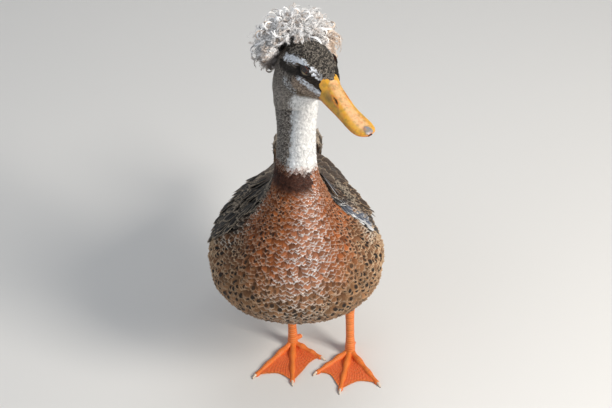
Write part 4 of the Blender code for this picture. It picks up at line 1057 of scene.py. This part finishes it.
# Each tier: count, roots and tips of its first and last feather (shares along and across the wing),
# half-width, levels of the first and last, roll, how ragged it lies, its colour and its finish. The slate
# tiers have pale edges and the others tan ones.
WING_TIERS = [
    (9, (0.50, 0.30), (0.44, 0.66), (1.00, 0.40), (0.80, 0.84), 5.4, (2.9, 5.6), 18, 0.2, DUSKY, quill),
    (11, (0.36, 0.06), (0.36, 0.48), (0.61, 0.00), (0.70, 0.46), 6.2, (5.2, 8.2), 9, 0.3, SLATE, quill),
    (6, (0.38, 0.50), (0.34, 0.80), (0.70, 0.46), (0.88, 0.68), 7.6, (8.4, 10.6), 8, 0.4, BISTRE, quill),
    (15, (0.25, 0.04), (0.25, 0.86), (0.44, 0.02), (0.48, 0.78), 5.2, (6.4, 9.0), 7, 0.5, SLATE, covert),
    (15, (0.17, 0.06), (0.17, 0.86), (0.34, 0.04), (0.37, 0.80), 5.2, (6.9, 9.0), 7, 0.6, DUSKY, covert),
    (15, (0.11, 0.06), (0.11, 0.86), (0.25, 0.05), (0.27, 0.82), 4.8, (6.9, 8.8), 7, 0.6, DUSKY, covert),
    (14, (0.06, 0.06), (0.06, 0.86), (0.17, 0.06), (0.19, 0.84), 4.6, (6.4, 8.4), 7, 0.6, DUSKY, covert),
    (13, (0.01, 0.10), (0.01, 0.90), (0.11, 0.08), (0.12, 0.86), 4.4, (4.6, 7.0), 7, 0.6, BISTRE, covert),
    (6, (0.20, 0.74), (0.26, 0.92), (0.46, 0.62), (0.62, 0.90), 7.4, (9.2, 10.8), 8, 0.5, BISTRE, quill),
    (8, (0.10, 0.68), (0.14, 0.96), (0.32, 0.60), (0.42, 0.94), 6.6, (9.6, 11.2), 8, 0.6, BISTRE, covert),
    (8, (0.03, 0.66), (0.04, 0.98), (0.21, 0.60), (0.27, 0.97), 5.8, (8.8, 10.4), 8, 0.6, BISTRE, covert),
    (8, (-0.05, 0.66), (-0.04, 1.00), (0.11, 0.60), (0.15, 1.00), 5.2, (7.2, 8.8), 8, 0.6, BISTRE, covert),
]


def on_wing(name, s, q, lift):
    """A point over the folded wing: s from the shoulder to the tip, q from the lower edge to the back."""
    u = WING_FRONT + (WING_END - WING_FRONT) * s
    low = np.radians(WING_LOW + (WING_LOW_END - WING_LOW) * np.maximum(s, 0) ** 1.4)
    high = math.radians(WING_HIGH)
    middle = low + (high - low) * 0.55
    narrow = 0.25 + 0.75 * (1 - (1 - np.clip(s / 0.16, 0, 1)) ** 2)
    turned = middle + (low + (high - low) * q - middle) * narrow
    lift = lift + WING_CLEAR * np.maximum(u - WING_CLEAR_FROM, 0)
    lift = lift + HUNCH[name] * np.exp(-(((s - 0.42) / 0.22) ** 2) - ((q - 0.85) / 0.24) ** 2)
    turned = turned if name == "left" else -turned
    normal = normal_of(on_body, u, turned)
    return on_body(u, turned) + normal * lift[..., None], normal


for name, hand in SIDES:
    s, q = net(np.linspace(0, ARM_END, 24), np.linspace(0, 1, 18))
    lens = np.sin(math.pi * q) ** 0.6 * (0.3 + 0.7 * np.minimum(s / 0.14, 1) ** 0.5)
    spots = on_wing(name, s, q, 1.0 + 3.6 * lens * np.clip((ARM_END - s) / 0.28, 0, 1))[0]
    wing_map = np.stack([s.ravel(), q.ravel()], -1)
    arm = laid(
        "wing_down_" + name, spots, sheet_quads(*s.shape), down, (0.05, 0.04, 0.034), "flight_feathers",
        {"OFBake": wing_map},
    )
    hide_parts("wing_" + name)
    for tier, row in enumerate(WING_TIERS):
        number, root_a, root_b, tip_a, tip_b, half, levels, roll, loose_lie, tint, made = row
        long_tier = made is quill
        t, shares = vane_shape(16 if long_tier else 11, 7, 0.72 if long_tier else 0.55, 0.42)
        share = np.linspace(0, 1, number)[:, None]
        root = np.array(root_a) + (np.array(root_b) - root_a) * share
        tip = np.array(tip_a) + (np.array(tip_b) - tip_a) * share
        tip = tip + seeded.normal(0, 0.008, tip.shape) * (1 + loose_lie)
        s = root[:, :1] + (tip[:, :1] - root[:, :1]) * t[None]
        q = root[:, 1:] + (tip[:, 1:] - root[:, 1:]) * t[None]
        rise = np.interp(t, [0, 0.3, 0.6, 1], [0, 0.45, 0.95, 1])
        free = LOWEST + (levels[0] - LOWEST) * rise[None] + (levels[1] - levels[0]) * share
        free = free + seeded.normal(0, 0.35, (number, 1)) * loose_lie * t[None]
        rise_by = 0.75 if root_a[0] < 0.12 else 0.22
        lifts = ROOT_LIFT + (free - ROOT_LIFT) * np.minimum(t[None] / rise_by, 1)
        centre, normal = on_wing(name, s, q, lifts)
        side_way = hand * np.radians(roll + seeded.uniform(-2, 2, number))
        width = half * seeded.uniform(0.94, 1.06, number)
        points = vane_points(centre, normal, width, np.tan(side_way), 0.10, shares)
        ground = np.array(tint) * seeded.uniform(0.75, 1.3, (number, 1))
        if tint is SLATE:
            ground = blend(ground, DUSKY, smooth(0.30, 0.55, share[:, 0]))
        lace = seeded.uniform(0.45, 0.95, number)
        edge = PALE_EDGE if tint is SLATE else TAN_EDGE
        feather_piece(
            f"wing_{name}_tier_{tier + 1}", points, t, shares, np.clip(0.03 + 0.94 * root, 0.01, 0.99),
            ground, edge, lace, 0, made, "flight_feathers", 0.7,
        )


# Tail: fourteen steering feathers fanned like a low roof over the stern, with rows of coverts over and
# under their bases. The photo hides it, so it is the plain brown, pale edged tail of the species.
TAIL_TIP = 15.9


def on_tail(u, side, drop):
    """A place beside and below the tail's upper middle line."""
    across = np.array([math.cos(BODY_TURN), math.sin(BODY_TURN), 0])
    middle = on_body(np.minimum(u, 15.98), np.full(np.shape(u), math.pi))
    return middle + across * side[..., None] - UP * drop[..., None]


# Each row: its number of feathers, half the fan's width at roots and tips, root and tip ribs, drops, arch,
# half-width and finish. A drop over 10 puts a row under the tail.
TAIL_ROWS = [
    ("steering", 14, 12.0, 24.0, 13.4, TAIL_TIP, (3.6, 1.2), 0.24, 5.4, quill),
    ("upper_long", 9, 10.0, 14.5, 13.2, 14.85, (2.4, -0.9), 0.26, 4.6, covert),
    ("upper_mid", 9, 12.0, 14.0, 12.8, 14.35, (1.6, -1.3), 0.26, 4.4, covert),
    ("upper_short", 9, 13.0, 15.0, 12.4, 13.8, (1.4, -1.6), 0.24, 4.4, covert),
    ("lower_long", 8, 9.0, 12.5, 13.2, 15.2, (17.0, 10.6), -0.10, 5.0, covert),
    ("lower_short", 8, 10.0, 13.5, 12.9, 14.5, (20.0, 16.4), -0.12, 5.2, covert),
]
for title, number, root_wide, tip_wide, first, last, drops, arch, half, made in TAIL_ROWS:
    upper = drops[0] < 10
    t, shares = vane_shape(14, 7, 0.72 if made is quill else 0.55, 0.45)
    place = np.linspace(-1, 1, number)
    off = np.abs(place)[:, None]
    tip_u = last - (0.5 if made is quill else 0.8) * off**2 * (last - first) / 2.5
    tip_u = tip_u + seeded.normal(0, 0.03, (number, 1))
    u = first + (tip_u - first) * t[None]
    side = (root_wide * (1 - t[None]) + tip_wide * t[None]) * place[:, None]
    drop = drops[0] + (drops[1] - drops[0]) * t[None] ** 0.7
    drop = drop + arch * off * np.abs(side) + 0.35 * (number % 2) * off
    centre = on_tail(u, side, drop)
    normal = np.broadcast_to(np.array([0, 0, 1.0 if upper else -1.0]), centre.shape)
    lean = -place * 0.16 * (1 if upper else -1)
    points = vane_points(centre, normal, half, lean, 0.12, shares)
    ground = np.array(DUSKY if upper else PALE_TAN) * seeded.uniform(0.8, 1.2, (number, 1))
    roots = np.stack([0.5 + 0.4 * place, np.full(number, 0.2 + 0.04 * first / 3)], -1)
    tail_piece = feather_piece(
        "tail_" + title, points, t, shares, roots, ground, TAN_EDGE if upper else CREAM, 0.8,
        0.0 if upper else 0.7, made, "flight_feathers", 0.7,
    )
    if title == "steering":
        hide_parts("tail")


# Eyes: two wet balls behind the lids at the sides of the head, dark red-brown with a black pupil. Each is
# one ball whose colours lie in rings round the direction in which it looks, under a clear gloss.
iris, tree, shader = shader_of("eye")
fill(tree, shader, {
    "Base Color": layer(tree, "tint"), "Roughness": 0.25, "Specular IOR Level": 0.2, "Coat Weight": 0.7,
    "Coat Roughness": 0.02,
})


def eye_out(hand):
    """The direction in which an eye looks, and the directions along and up its opening."""
    base = from_head(0, 0, 0)
    out = unit(from_head(0.12, hand, 0.10) - base)
    along = from_head(1, 0, -0.35) - base
    along = unit(along - out * along.dot(out))
    return out, along, np.cross(out, along)


for name, hand in SIDES:
    out, along, up = eye_out(hand)
    polar, around = net(np.linspace(0.02, math.pi - 0.02, 28), turns(40))
    ring = along * np.cos(around)[..., None] + up * np.sin(around)[..., None]
    spots = eye_middle(hand) + (out * np.cos(polar)[..., None] + ring * np.sin(polar)[..., None]) * EYE_RADIUS
    tint = blend((0.13, 0.024, 0.008), (0.004, 0.003, 0.003), 1 - smooth(0.34, 0.42, polar))
    tint = blend(tint, (0.01, 0.006, 0.005), smooth(0.72, 0.84, polar))
    eye = laid("eyeball_" + name, spots, tube_quads(*polar.shape), iris, tint, "eye")
    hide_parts("eye_" + name)


# Lids: bare skin with small folds round each eye, a thick dark upper lid and a paler lower one. Each pair
# is one ring of skin that closes in on the eyeball and is fixed in the face round it.
lid, tree, shader = shader_of("lid skin")
fill(tree, shader, {
    "Base Color": layer(tree, "tint"), "Normal": bumped(tree, noise(tree, 1500.0), 0.4, 0.0003),
    "Roughness": 0.5,
})
for name, hand in SIDES:
    out, along, up = eye_out(hand)
    spin, ring = net(turns(64), turns(12))
    height = np.sin(spin) * np.sign(up[2])
    high = np.where(height > 0, 2.2, 2.3)
    spoke = along * (4.4 * np.cos(spin))[..., None] + up * (high * np.sin(spin))[..., None]
    far = np.linalg.norm(spoke, axis=-1, keepdims=True)
    rise = np.sqrt(np.maximum(EYE_RADIUS**2 - far[..., 0] ** 2, 0.5))[..., None]
    roll = 0.75 + 0.1 * np.cos(spin * 9)[..., None]
    broad = 1.55 + 0.55 * smooth(-0.3, 0.5, height)[..., None]
    spots = eye_middle(hand) + spoke + out * (rise + 0.1)
    spots = spots + (spoke / far) * roll * broad * np.cos(ring)[..., None]
    spots = spots + (spoke / far) * 0.7 + out * roll * 0.8 * np.sin(ring)[..., None]
    lower = smooth(0.0, 0.5, -height) * smooth(0.3, -0.6, np.cos(ring)) * smooth(-0.8, 0.1, np.cos(spin))
    tint = blend((0.018, 0.014, 0.013), (0.36, 0.27, 0.15), lower)
    laid("lids_" + name, spots, tube_quads(*spin.shape), lid, tint, "plumage")


# Bill: soft waxy skin over bone, yellow-orange, with a raised rim round each slit nostril, a dark
# smudge behind it, a hard grey nail at the tip and a thin orange edge along the mouth.
BILL_SHARES = [0.0, 0.14, 0.30, 0.48, 0.66, 0.80, 0.90, 0.96, 1.0]
UPPER_HALF = [10.6, 10.4, 9.9, 10.0, 10.9, 11.2, 10.0, 7.4, 2.4]
UPPER_HIGH = [19.3, 15.8, 12.2, 9.2, 7.2, 6.0, 5.2, 4.4, 2.4]
LOWER_HALF = [9.6, 9.2, 8.7, 8.9, 9.6, 9.7, 8.4, 5.6, 1.8]
LOWER_DEEP = [5.1, 5.0, 4.6, 4.0, 3.4, 2.9, 2.3, 1.6, 0.8]
NOSTRIL_AT, NOSTRIL_SIZE, NOSTRIL_SLOPE = (15.5, 10.4), (3.8, 0.9), 0.30


def by_share(values, share):
    """A smooth curve through the bill's values at BILL_SHARES."""
    places = np.interp(share, BILL_SHARES, np.arange(len(BILL_SHARES)))
    return spline(np.array(values, float)[:, None], places)[..., 0]


def mouth_line(along):
    """How high the line of the mouth lies at each distance from the gape."""
    return -1.3 * np.sin(math.pi * along / BILL_LENGTH) + 1.2 * (along / BILL_LENGTH) ** 4


horn, tree, shader = shader_of("bill skin")
lumps, stain = noise(tree, 260.0, 4.0), noise(tree, 150.0, 5.0, 0.7)
blotch = calc(tree, "MULTIPLY", ramp(tree, lumps, 0.45, 0.70), 0.5)
blotch = mixed(tree, blotch, layer(tree, "tint"), (0.66, 0.19, 0.04))
stained = calc(tree, "MULTIPLY", ramp(tree, stain, 0.47, 0.64), 0.5)
fill(tree, shader, {
    "Base Color": mixed(tree, stained, blotch, (0.24, 0.15, 0.035)),
    "Normal": bumped(tree, noise(tree, 1500.0, 3.0), 0.18, 0.0003),
    "Roughness": between(tree, lumps, 0.30, 0.46),
    "Subsurface Weight": 0.15, "Subsurface Radius": (1.0, 0.4, 0.1), "Subsurface Scale": 0.002,
})
ORANGE_YELLOW, ORANGE, OLIVE = (0.70, 0.37, 0.032), (0.66, 0.15, 0.02), (0.13, 0.095, 0.025)

BILL_STEPS, UPPER_ARCH, UPPER_FLOOR, LOWER_ARCH, LOWER_ROOF, BEHIND_GAPE = 90, 56, 10, 32, 8, 5.0
share, spin = net(np.linspace(0, 1, BILL_STEPS), np.linspace(0, math.pi, UPPER_ARCH))
along = share * BILL_LENGTH
half, high = by_share(UPPER_HALF, share), by_share(UPPER_HIGH, share)
left = half * np.cos(spin)
power = 0.85 - 0.1 * smooth(0.25, 0.35, share)
up = (high - 0.8) * np.sin(spin) ** power + 0.8
along = along - BEHIND_GAPE * (share < 0.005)
# A pale pinkish line along the ridge: a painted highlight.
crown = smooth(0.80, 0.98, np.sin(spin))
tint = blend(ORANGE_YELLOW, (0.76, 0.49, 0.29), crown * 0.7)
tint = blend(tint, ORANGE, (1 - smooth(0.5, 3.2, up)) * 0.7)
for hand in (1, -1):
    gap_along = along - NOSTRIL_AT[0]
    gap_up = up - NOSTRIL_AT[1] + gap_along * NOSTRIL_SLOPE
    far = np.hypot(gap_along / NOSTRIL_SIZE[0], gap_up / NOSTRIL_SIZE[1])
    near = np.cos(spin) * hand > 0.1
    hole = (1 - smooth(0.75, 1.05, far)) * near
    ridge = np.exp(-(((far - 1.45) / 0.38) ** 2)) * near
    left = left - hand * (1.7 * hole - 0.4 * ridge)
    tint = blend(tint, (0.70, 0.16, 0.03), ridge * 0.7)
    # The nostril is a shallow dent painted near black: painted shade inside the slit.
    tint = blend(tint, (0.05, 0.015, 0.008), hole)
    smudge = np.exp(-(((along - 9.5) / 5.5) ** 2) - (((up - 9.0) / 3.2) ** 2)) * near
    tint = blend(tint, OLIVE, smudge * (0.75 if hand < 0 else 0.5))
nail_far = np.hypot((along - BILL_LENGTH) / 9.0, left / 4.6)
nail = 1 - smooth(0.85, 1.05, nail_far)
up = up + 0.45 * nail
tint = blend(tint, (0.22, 0.23, 0.26), nail * smooth(0.2, 0.9, np.sin(spin)))
groove = np.exp(-(((up - 2.6) / 0.7) ** 2)) * smooth(0.2, 0.5, share) * (1 - nail)
left = left - 0.25 * np.sign(left) * groove
top = from_bill(along, left, mouth_line(share * BILL_LENGTH) + up)
under_side = half[:, :1] * np.linspace(-1, 1, UPPER_FLOOR + 2)[None, 1:-1]
under_at = (slice(None), slice(UPPER_FLOOR))
under = from_bill(along[under_at], under_side, mouth_line(share[under_at] * BILL_LENGTH) + 0.3)
tint = np.concatenate([tint, flat_colour((0.30, 0.09, 0.03), under_side)], 1)
ring = np.concatenate([top, under], 1)
upper = laid("upper_bill", ring, tube_quads(*ring.shape[:2]), horn, tint, "bill_skin")
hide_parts("bill_upper")
for name, hand in SIDES:
    u, from_top = net(np.linspace(7.6, 8.3, 12), np.radians(np.linspace(14, 70, 16)))
    turned = math.pi - hand * from_top
    rise = np.interp(u, [7.6, 7.9, 8.3], [-0.6, 0.3, 1.1])
    spots = on_head(u, turned) + normal_of(on_head, u, turned, -1) * rise[..., None]
    laid("bill_base_" + name, spots, sheet_quads(*u.shape), horn, ORANGE_YELLOW, "bill_skin")

share, spin = net(np.linspace(0, 1, BILL_STEPS), np.linspace(math.pi, math.tau, LOWER_ARCH))
half, deep = by_share(LOWER_HALF, share), by_share(LOWER_DEEP, share)
along = share * BILL_LENGTH * 0.985
height = mouth_line(along) - 0.3
along = along - BEHIND_GAPE * (share < 0.005)
shell = from_bill(along, half * np.cos(spin), height + deep * np.sin(spin))
over_side = half[:, :1] * np.linspace(1, -1, LOWER_ROOF + 2)[None, 1:-1]
roof = from_bill(along[:, :LOWER_ROOF], over_side, height[:, :LOWER_ROOF] + 0.15)
tint = blend((0.80, 0.36, 0.05), ORANGE, smooth(-0.5, -0.05, np.sin(spin)))
tint = np.concatenate([tint, flat_colour((0.35, 0.09, 0.03), over_side)], 1)
ring = np.concatenate([shell, roof], 1)
lower = laid("lower_bill", ring, tube_quads(*ring.shape[:2]), horn, tint, "bill_skin")
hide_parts("bill_lower")


# Legs and feet: bare orange skin with plates down the front of the shank, cross scales on the toes and
# small grains elsewhere. Thin wrinkled webs join the three front toes, and the hind toe is short.
hide, tree, shader = shader_of("foot skin")
grains = node(tree, "ShaderNodeTexVoronoi", {"Scale": 620.0}).outputs[0]
creases = noise(tree, 500.0, 4.0)
worn = calc(tree, "MULTIPLY", ramp(tree, creases, 0.48, 0.72), 0.4)
toned = mixed(tree, worn, layer(tree, "tint"), (0.90, 0.36, 0.13))
grainy = calc(tree, "MULTIPLY", ramp(tree, grains, 0.35, 0.75), 0.4)
fill(tree, shader, {
    "Base Color": mixed(tree, grainy, toned, (0.50, 0.09, 0.012)),
    "Normal": bumped(tree, grains, 0.25, 0.0004, invert=True),
    "Roughness": between(tree, creases, 0.38, 0.6),
    "Subsurface Weight": 0.12, "Subsurface Radius": (1.0, 0.3, 0.1), "Subsurface Scale": 0.002,
})
FOOT_ORANGE, FOOT_PALE, WEB_SALMON = (0.82, 0.135, 0.014), (0.88, 0.26, 0.04), (0.80, 0.15, 0.04)

TOES = {
    "left": [(56.0, -41.0), (68.0, -5.0), (64.0, 35.0)],
    "right": [(45.0, 58.0), (68.0, 6.0), (71.0, -31.0)],
}
HALLUX_TURN, HALLUX = {"left": 165.0, "right": 140.0}, 15.0
ANKLE_HIGH, CLAW_BACK, SMALL_CLAW_BACK, HIND_LIFT, TOE_SCALE = 12.0, 5.5, 3.0, 2.4, 2.3


def beside_way(way):
    return np.array([-way[1], way[0], 0.0])


def seams(distance, pitch):
    """The dark line behind each scale's free edge."""
    return np.exp(-(((distance / pitch % 1) - 0.02) / 0.10) ** 2)


def plates(distance, pitch):
    """The profile of overlapping scales along a toe or shank: high at each free edge, sunk behind it."""
    part = (distance / pitch) % 1
    return part**1.5 - 1.3 * np.exp(-(((part - 1.0) / 0.07) ** 2)) - 1.3 * np.exp(-((part / 0.07) ** 2))


def skin_part(spots, tint):
    """One closed stretch of foot skin: its points by ring, colours and faces."""
    return spots.reshape(-1, 3), tint.reshape(-1, 3), tube_quads(*spots.shape[:2])


def flat_way(degrees_left):
    """A direction over the floor, so many degrees to the left of straight ahead."""
    turn = math.radians(degrees_left)
    return np.array([math.sin(turn), -math.cos(turn), 0.0])


def toe(heel, way, length):
    """A toe lying on the floor: flat soled, arched above, swollen at its joints, cross scaled on top."""
    share, spin = net(np.linspace(0, 1, 110), turns(32))
    joint = 1 + 0.11 * np.cos(share * math.tau * 3)
    joint = joint * np.sqrt(np.clip((1.012 - share) / 0.05, 0.05, 1))
    wide, high = (4.2 - 1.8 * share) * joint, (7.2 - 3.9 * share) * joint
    distance = share * (length - CLAW_BACK)
    above = np.clip(np.sin(spin), 0, 1)
    level = high * (0.3 + 0.7 * np.sin(spin))
    level = np.where(np.sin(spin) < 0, high * 0.3 * (1 - np.minimum(-np.sin(spin) * 2.2, 1)), level)
    level = level + 0.22 * plates(distance, TOE_SCALE) * above
    spots = heel + way * distance[..., None] + beside_way(way) * (wide * np.cos(spin))[..., None]
    spots = spots + UP * np.maximum(level, 0.02)[..., None]
    tint = blend(FOOT_ORANGE, FOOT_PALE, above * 0.75)
    tint = tint * (1 - 0.35 * seams(distance, TOE_SCALE) * above)[..., None]
    return skin_part(spots, tint)


def web(heel, way_a, long_a, way_b, long_b):
    """A thin sheet between two toes, finely folded along them, its free edge a shallow hollow."""
    fan, out_share = net(np.linspace(0, 1, 70), np.linspace(0, 1, 60))
    turned = unit(way_a * (1 - fan[..., None]) + way_b * fan[..., None])
    reach = long_a + (long_b - long_a) * fan - 8.0 - 11.0 * np.sin(math.pi * fan)
    distance = 4.0 + (reach - 4.0) * out_share
    fold = 0.22 * np.sin(fan * 64 + 3.0 * np.sin(out_share * 7))
    fold = fold + 0.18 * np.sin(out_share * 55 + 4 * np.sin(fan * 9))
    fold = fold * np.sin(math.pi * np.clip(fan, 0.02, 0.98)) ** 0.5
    droop = 2.1 + 1.6 * (1 - out_share) * np.abs(2 * fan - 1) + fold - 0.5 * np.sin(math.pi * fan) * out_share
    flat = heel + turned * distance[..., None]
    upper = flat + UP * np.maximum(droop, 0.8)[..., None]
    lower = flat + UP * np.maximum(droop - 1.0, 0.3)[..., None]
    # Darker in the hollows of the web's folds: painted shade.
    crease = smooth(-0.15, -0.35, fold)[..., None]
    tint = blend(np.array(WEB_SALMON) * (1 - 0.25 * crease), FOOT_PALE, smooth(0.93, 1.0, out_share) * 0.6)
    rows, wide = fan.shape
    quads = sheet_quads(rows, wide)[:, [0, 3, 2, 1]]
    size = rows * wide
    rim = [k * wide for k in range(rows)] + [(rows - 1) * wide + j for j in range(1, wide)]
    rim += [k * wide + wide - 1 for k in range(rows - 2, -1, -1)] + list(range(wide - 2, 0, -1))
    rim = np.array(rim)
    after = np.roll(rim, -1)
    edge_quads = np.stack([rim, after, after + size, rim + size], -1)
    faces = np.concatenate([quads, quads[:, ::-1] + size, edge_quads])
    spots = np.concatenate([upper.reshape(-1, 3), lower.reshape(-1, 3)])
    return spots, np.concatenate([tint.reshape(-1, 3)] * 2), faces


def limb(stations, rings, sides, scale_pitch):
    """A round limb through (centre, radius across, radius from front to back), plated down its front."""
    table = np.array([(*centre, across, deep) for centre, across, deep in stations], float)
    lengths = np.concatenate([[0], np.cumsum(np.linalg.norm(np.diff(table[:, :3], axis=0), axis=1))])
    at = np.linspace(0, lengths[-1], rings)
    rows = np.stack([np.interp(at, lengths, table[:, k]) for k in range(5)], -1)
    kernel = np.ones(7) / 7
    padded = np.concatenate([np.repeat(rows[:1], 3, 0), rows, np.repeat(rows[-1:], 3, 0)])
    rows = np.stack([np.convolve(padded[:, k], kernel, "valid") for k in range(5)], -1)
    way = unit(np.gradient(rows[:, :3], axis=0))
    across = unit(np.cross(way, (0, 1, 0)))
    front = np.cross(across, way)
    spin = turns(sides)
    facing = front[:, None] * np.sin(spin)[None, :, None] + across[:, None] * np.cos(spin)[None, :, None]
    ahead = np.clip(-facing[..., 1], 0, 1) ** 0.6
    bump_out = 0.30 * plates(at, scale_pitch)[:, None] * ahead
    radius = np.hypot(rows[:, 3:4] * np.cos(spin), rows[:, 4:5] * np.sin(spin)) + bump_out
    spots = rows[:, None, :3] + facing * radius[..., None]
    gap = seams(at, scale_pitch)[:, None] * ahead
    # Each plate's raised edge is painted pale: a painted highlight.
    plate_edge_highlight = np.exp(-(((at / scale_pitch % 1) - 0.82) / 0.16) ** 2)[:, None] * ahead
    tint = blend(blend(FOOT_ORANGE, FOOT_PALE, ahead * 0.7), (0.95, 0.55, 0.24), 0.7 * plate_edge_highlight)
    return skin_part(spots, tint * (1 - 0.6 * gap)[..., None])


for name, (x, y) in HEELS.items():
    heel, hock, hip = np.array([x, y, 0.0]), np.array(HOCKS[name]), np.array(HIPS[name])
    thigh_way = unit(hock - hip)
    ankle = heel + (0, 0, ANKLE_HIGH)
    shank_way = unit(ankle - hock)
    stations = [
        (hock - thigh_way * 6, 4.6, 5.4), (hock, 5.0, 6.6), (hock + thigh_way * 4, 5.4, 7.2),
        (hock + shank_way * 12, 4.9, 6.0), (hock + shank_way * 24, 4.5, 5.2),
        (ankle - shank_way * 10, 4.5, 5.3), (ankle, 5.2, 5.9), (heel + (0, -0.6, 6.5), 5.6, 5.9),
        (heel + (0, -1.6, 3.0), 5.2, 5.4), (heel + (0, -2, 0.3), 3.6, 4.0),
    ]
    made_parts = [limb(stations, 120, 36, 2.6)]
    ways = [(flat_way(turn), length) for length, turn in TOES[name]]
    made_parts += [toe(heel, way, length) for way, length in ways]
    made_parts += [web(heel, *ways[k], *ways[k + 1]) for k in (0, 1)]
    back_way = flat_way(HALLUX_TURN[name])
    reach = HALLUX - SMALL_CLAW_BACK
    hind = []
    for k in (0.0, 0.3, 0.6, 0.85, 1.0):
        middle = heel + back_way * reach * k + UP * (7.6 * (1 - k) ** 1.5 + 2.6 + HIND_LIFT * k)
        hind.append((middle, 3.7 - 1.5 * k, 3.9 - 1.4 * k))
    made_parts.append(limb(hind, 40, 20, 2.0))
    spots, tints, faces = zip(*made_parts)
    starts = np.cumsum([0] + [len(each) for each in spots])
    faces = np.concatenate([each + start for each, start in zip(faces, starts)])
    spots = np.concatenate(spots)
    spots[:, 2] = np.maximum(spots[:, 2], 0.02)
    foot = laid("foot_skin_" + name, spots, faces, hide, np.concatenate(tints), "leg_skin")
    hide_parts("foot_" + name, "leg_" + name)


# Claws: short blunt claws of horn that carry each toe on and bend down to the floor, pale with dark
# tips. Each is a tapered cone whose root sits in the skin of its toe.
claw_horn, tree, shader = shader_of("claw horn")
streaks = calc(tree, "MULTIPLY", noise(tree, 900.0), 0.3)
fill(tree, shader, {
    "Base Color": mixed(tree, streaks, layer(tree, "tint"), (0.20, 0.13, 0.08)), "Roughness": 0.35,
})
for name, (x, y) in HEELS.items():
    heel = np.array([x, y, 0.0])
    toes = [(flat_way(turn), length, False) for length, turn in TOES[name]]
    toes.append((flat_way(HALLUX_TURN[name]), HALLUX, True))
    for number, (way, length, small) in enumerate(toes):
        thick, long = (1.3, 4.6) if small else (1.6, 5.9)
        begin = length - (SMALL_CLAW_BACK if small else CLAW_BACK) - 0.6
        share, spin = net(np.linspace(0, 1, 16), turns(16))
        radius = thick * np.sqrt(np.maximum(1 - share**1.6, 0.01))
        level = thick * 1.25 * (1 - share**1.5) + 0.35 + radius * np.sin(spin) * 1.05
        level = level + small * (HIND_LIFT + 0.6)
        wide = (radius * np.cos(spin) * 0.85)[..., None]
        spots = heel + way * (begin + long * share)[..., None] + beside_way(way) * wide
        spots = spots + UP * np.maximum(level, 0.03)[..., None]
        tint = blend((0.78, 0.62, 0.48), (0.16, 0.11, 0.08), smooth(0.8, 1.0, share))
        title = f"claw_skin_{name}_{number + 1}"
        talon = laid(title, spots, tube_quads(*share.shape), claw_horn, tint, "claw_horn")
        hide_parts(f"claw_{name}_{number + 1}")


# Floor, light and camera: a pale sweep under the bird, a large soft lamp from its left, a weak cool fill
# and a lamp from above. The camera stands where the photo's did.
floor_mat, tree, shader = shader_of("floor")
fill(tree, shader, {"Base Color": (0.72, 0.71, 0.69, 1), "Roughness": 0.85})
sweep = [(-3.0, 0.0), (1.2, 0.0), (1.7, 0.08), (2.05, 0.35), (2.2, 0.8), (2.2, 3.0)]
spots = np.array([(x, y, z) for y, z in sweep for x in (-4.0, 4.0)])
faces = [(2 * k, 2 * k + 1, 2 * k + 3, 2 * k + 2) for k in range(len(sweep) - 1)]
floor = mesh_of("floor", spots, faces, floor_mat)


def lamp(name, energy, size, colour, spot):
    """A square lamp that shines on the middle of the bird."""
    data = bpy.data.lights.new(name, "AREA")
    data.energy, data.size, data.color = energy, size, colour
    made = bpy.data.objects.new(name, data)
    made.location = spot
    made.rotation_euler = (Vector(spot) - Vector((0, 0, 0.18))).to_track_quat("Z", "Y").to_euler()
    bpy.context.scene.collection.objects.link(made)


lamp("key", 33, 0.65, (1.0, 0.95, 0.88), (1.3, -0.75, 1.15))
lamp("fill", 7, 1.6, (0.85, 0.92, 1.0), (-1.4, -1.1, 1.0))
lamp("top", 8, 1.2, (1.0, 1.0, 1.0), (0.1, 0.5, 1.8))
world = bpy.data.worlds.new("studio")
world.use_nodes = True
world.node_tree.nodes["Background"].inputs[0].default_value = (0.80, 0.86, 0.95, 1)
world.node_tree.nodes["Background"].inputs[1].default_value = 0.32
bpy.context.scene.world = world

AZIMUTH, ELEVATION = math.radians(6), math.radians(36)
back = Vector((
    math.sin(AZIMUTH) * math.cos(ELEVATION), -math.cos(AZIMUTH) * math.cos(ELEVATION), math.sin(ELEVATION)
))
camera_data = bpy.data.cameras.new("camera")
camera_data.lens, camera_data.sensor_width = 86.588, 36
camera = bpy.data.objects.new("camera", camera_data)
camera.location = Vector((0.1305, -1.1968, 1.0663)) + Vector(SHIFT)
camera.rotation_euler = back.to_track_quat("Z", "Y").to_euler()
bpy.context.scene.collection.objects.link(camera)
bpy.context.scene.camera = camera
bpy.context.scene.view_settings.view_transform = "Standard"
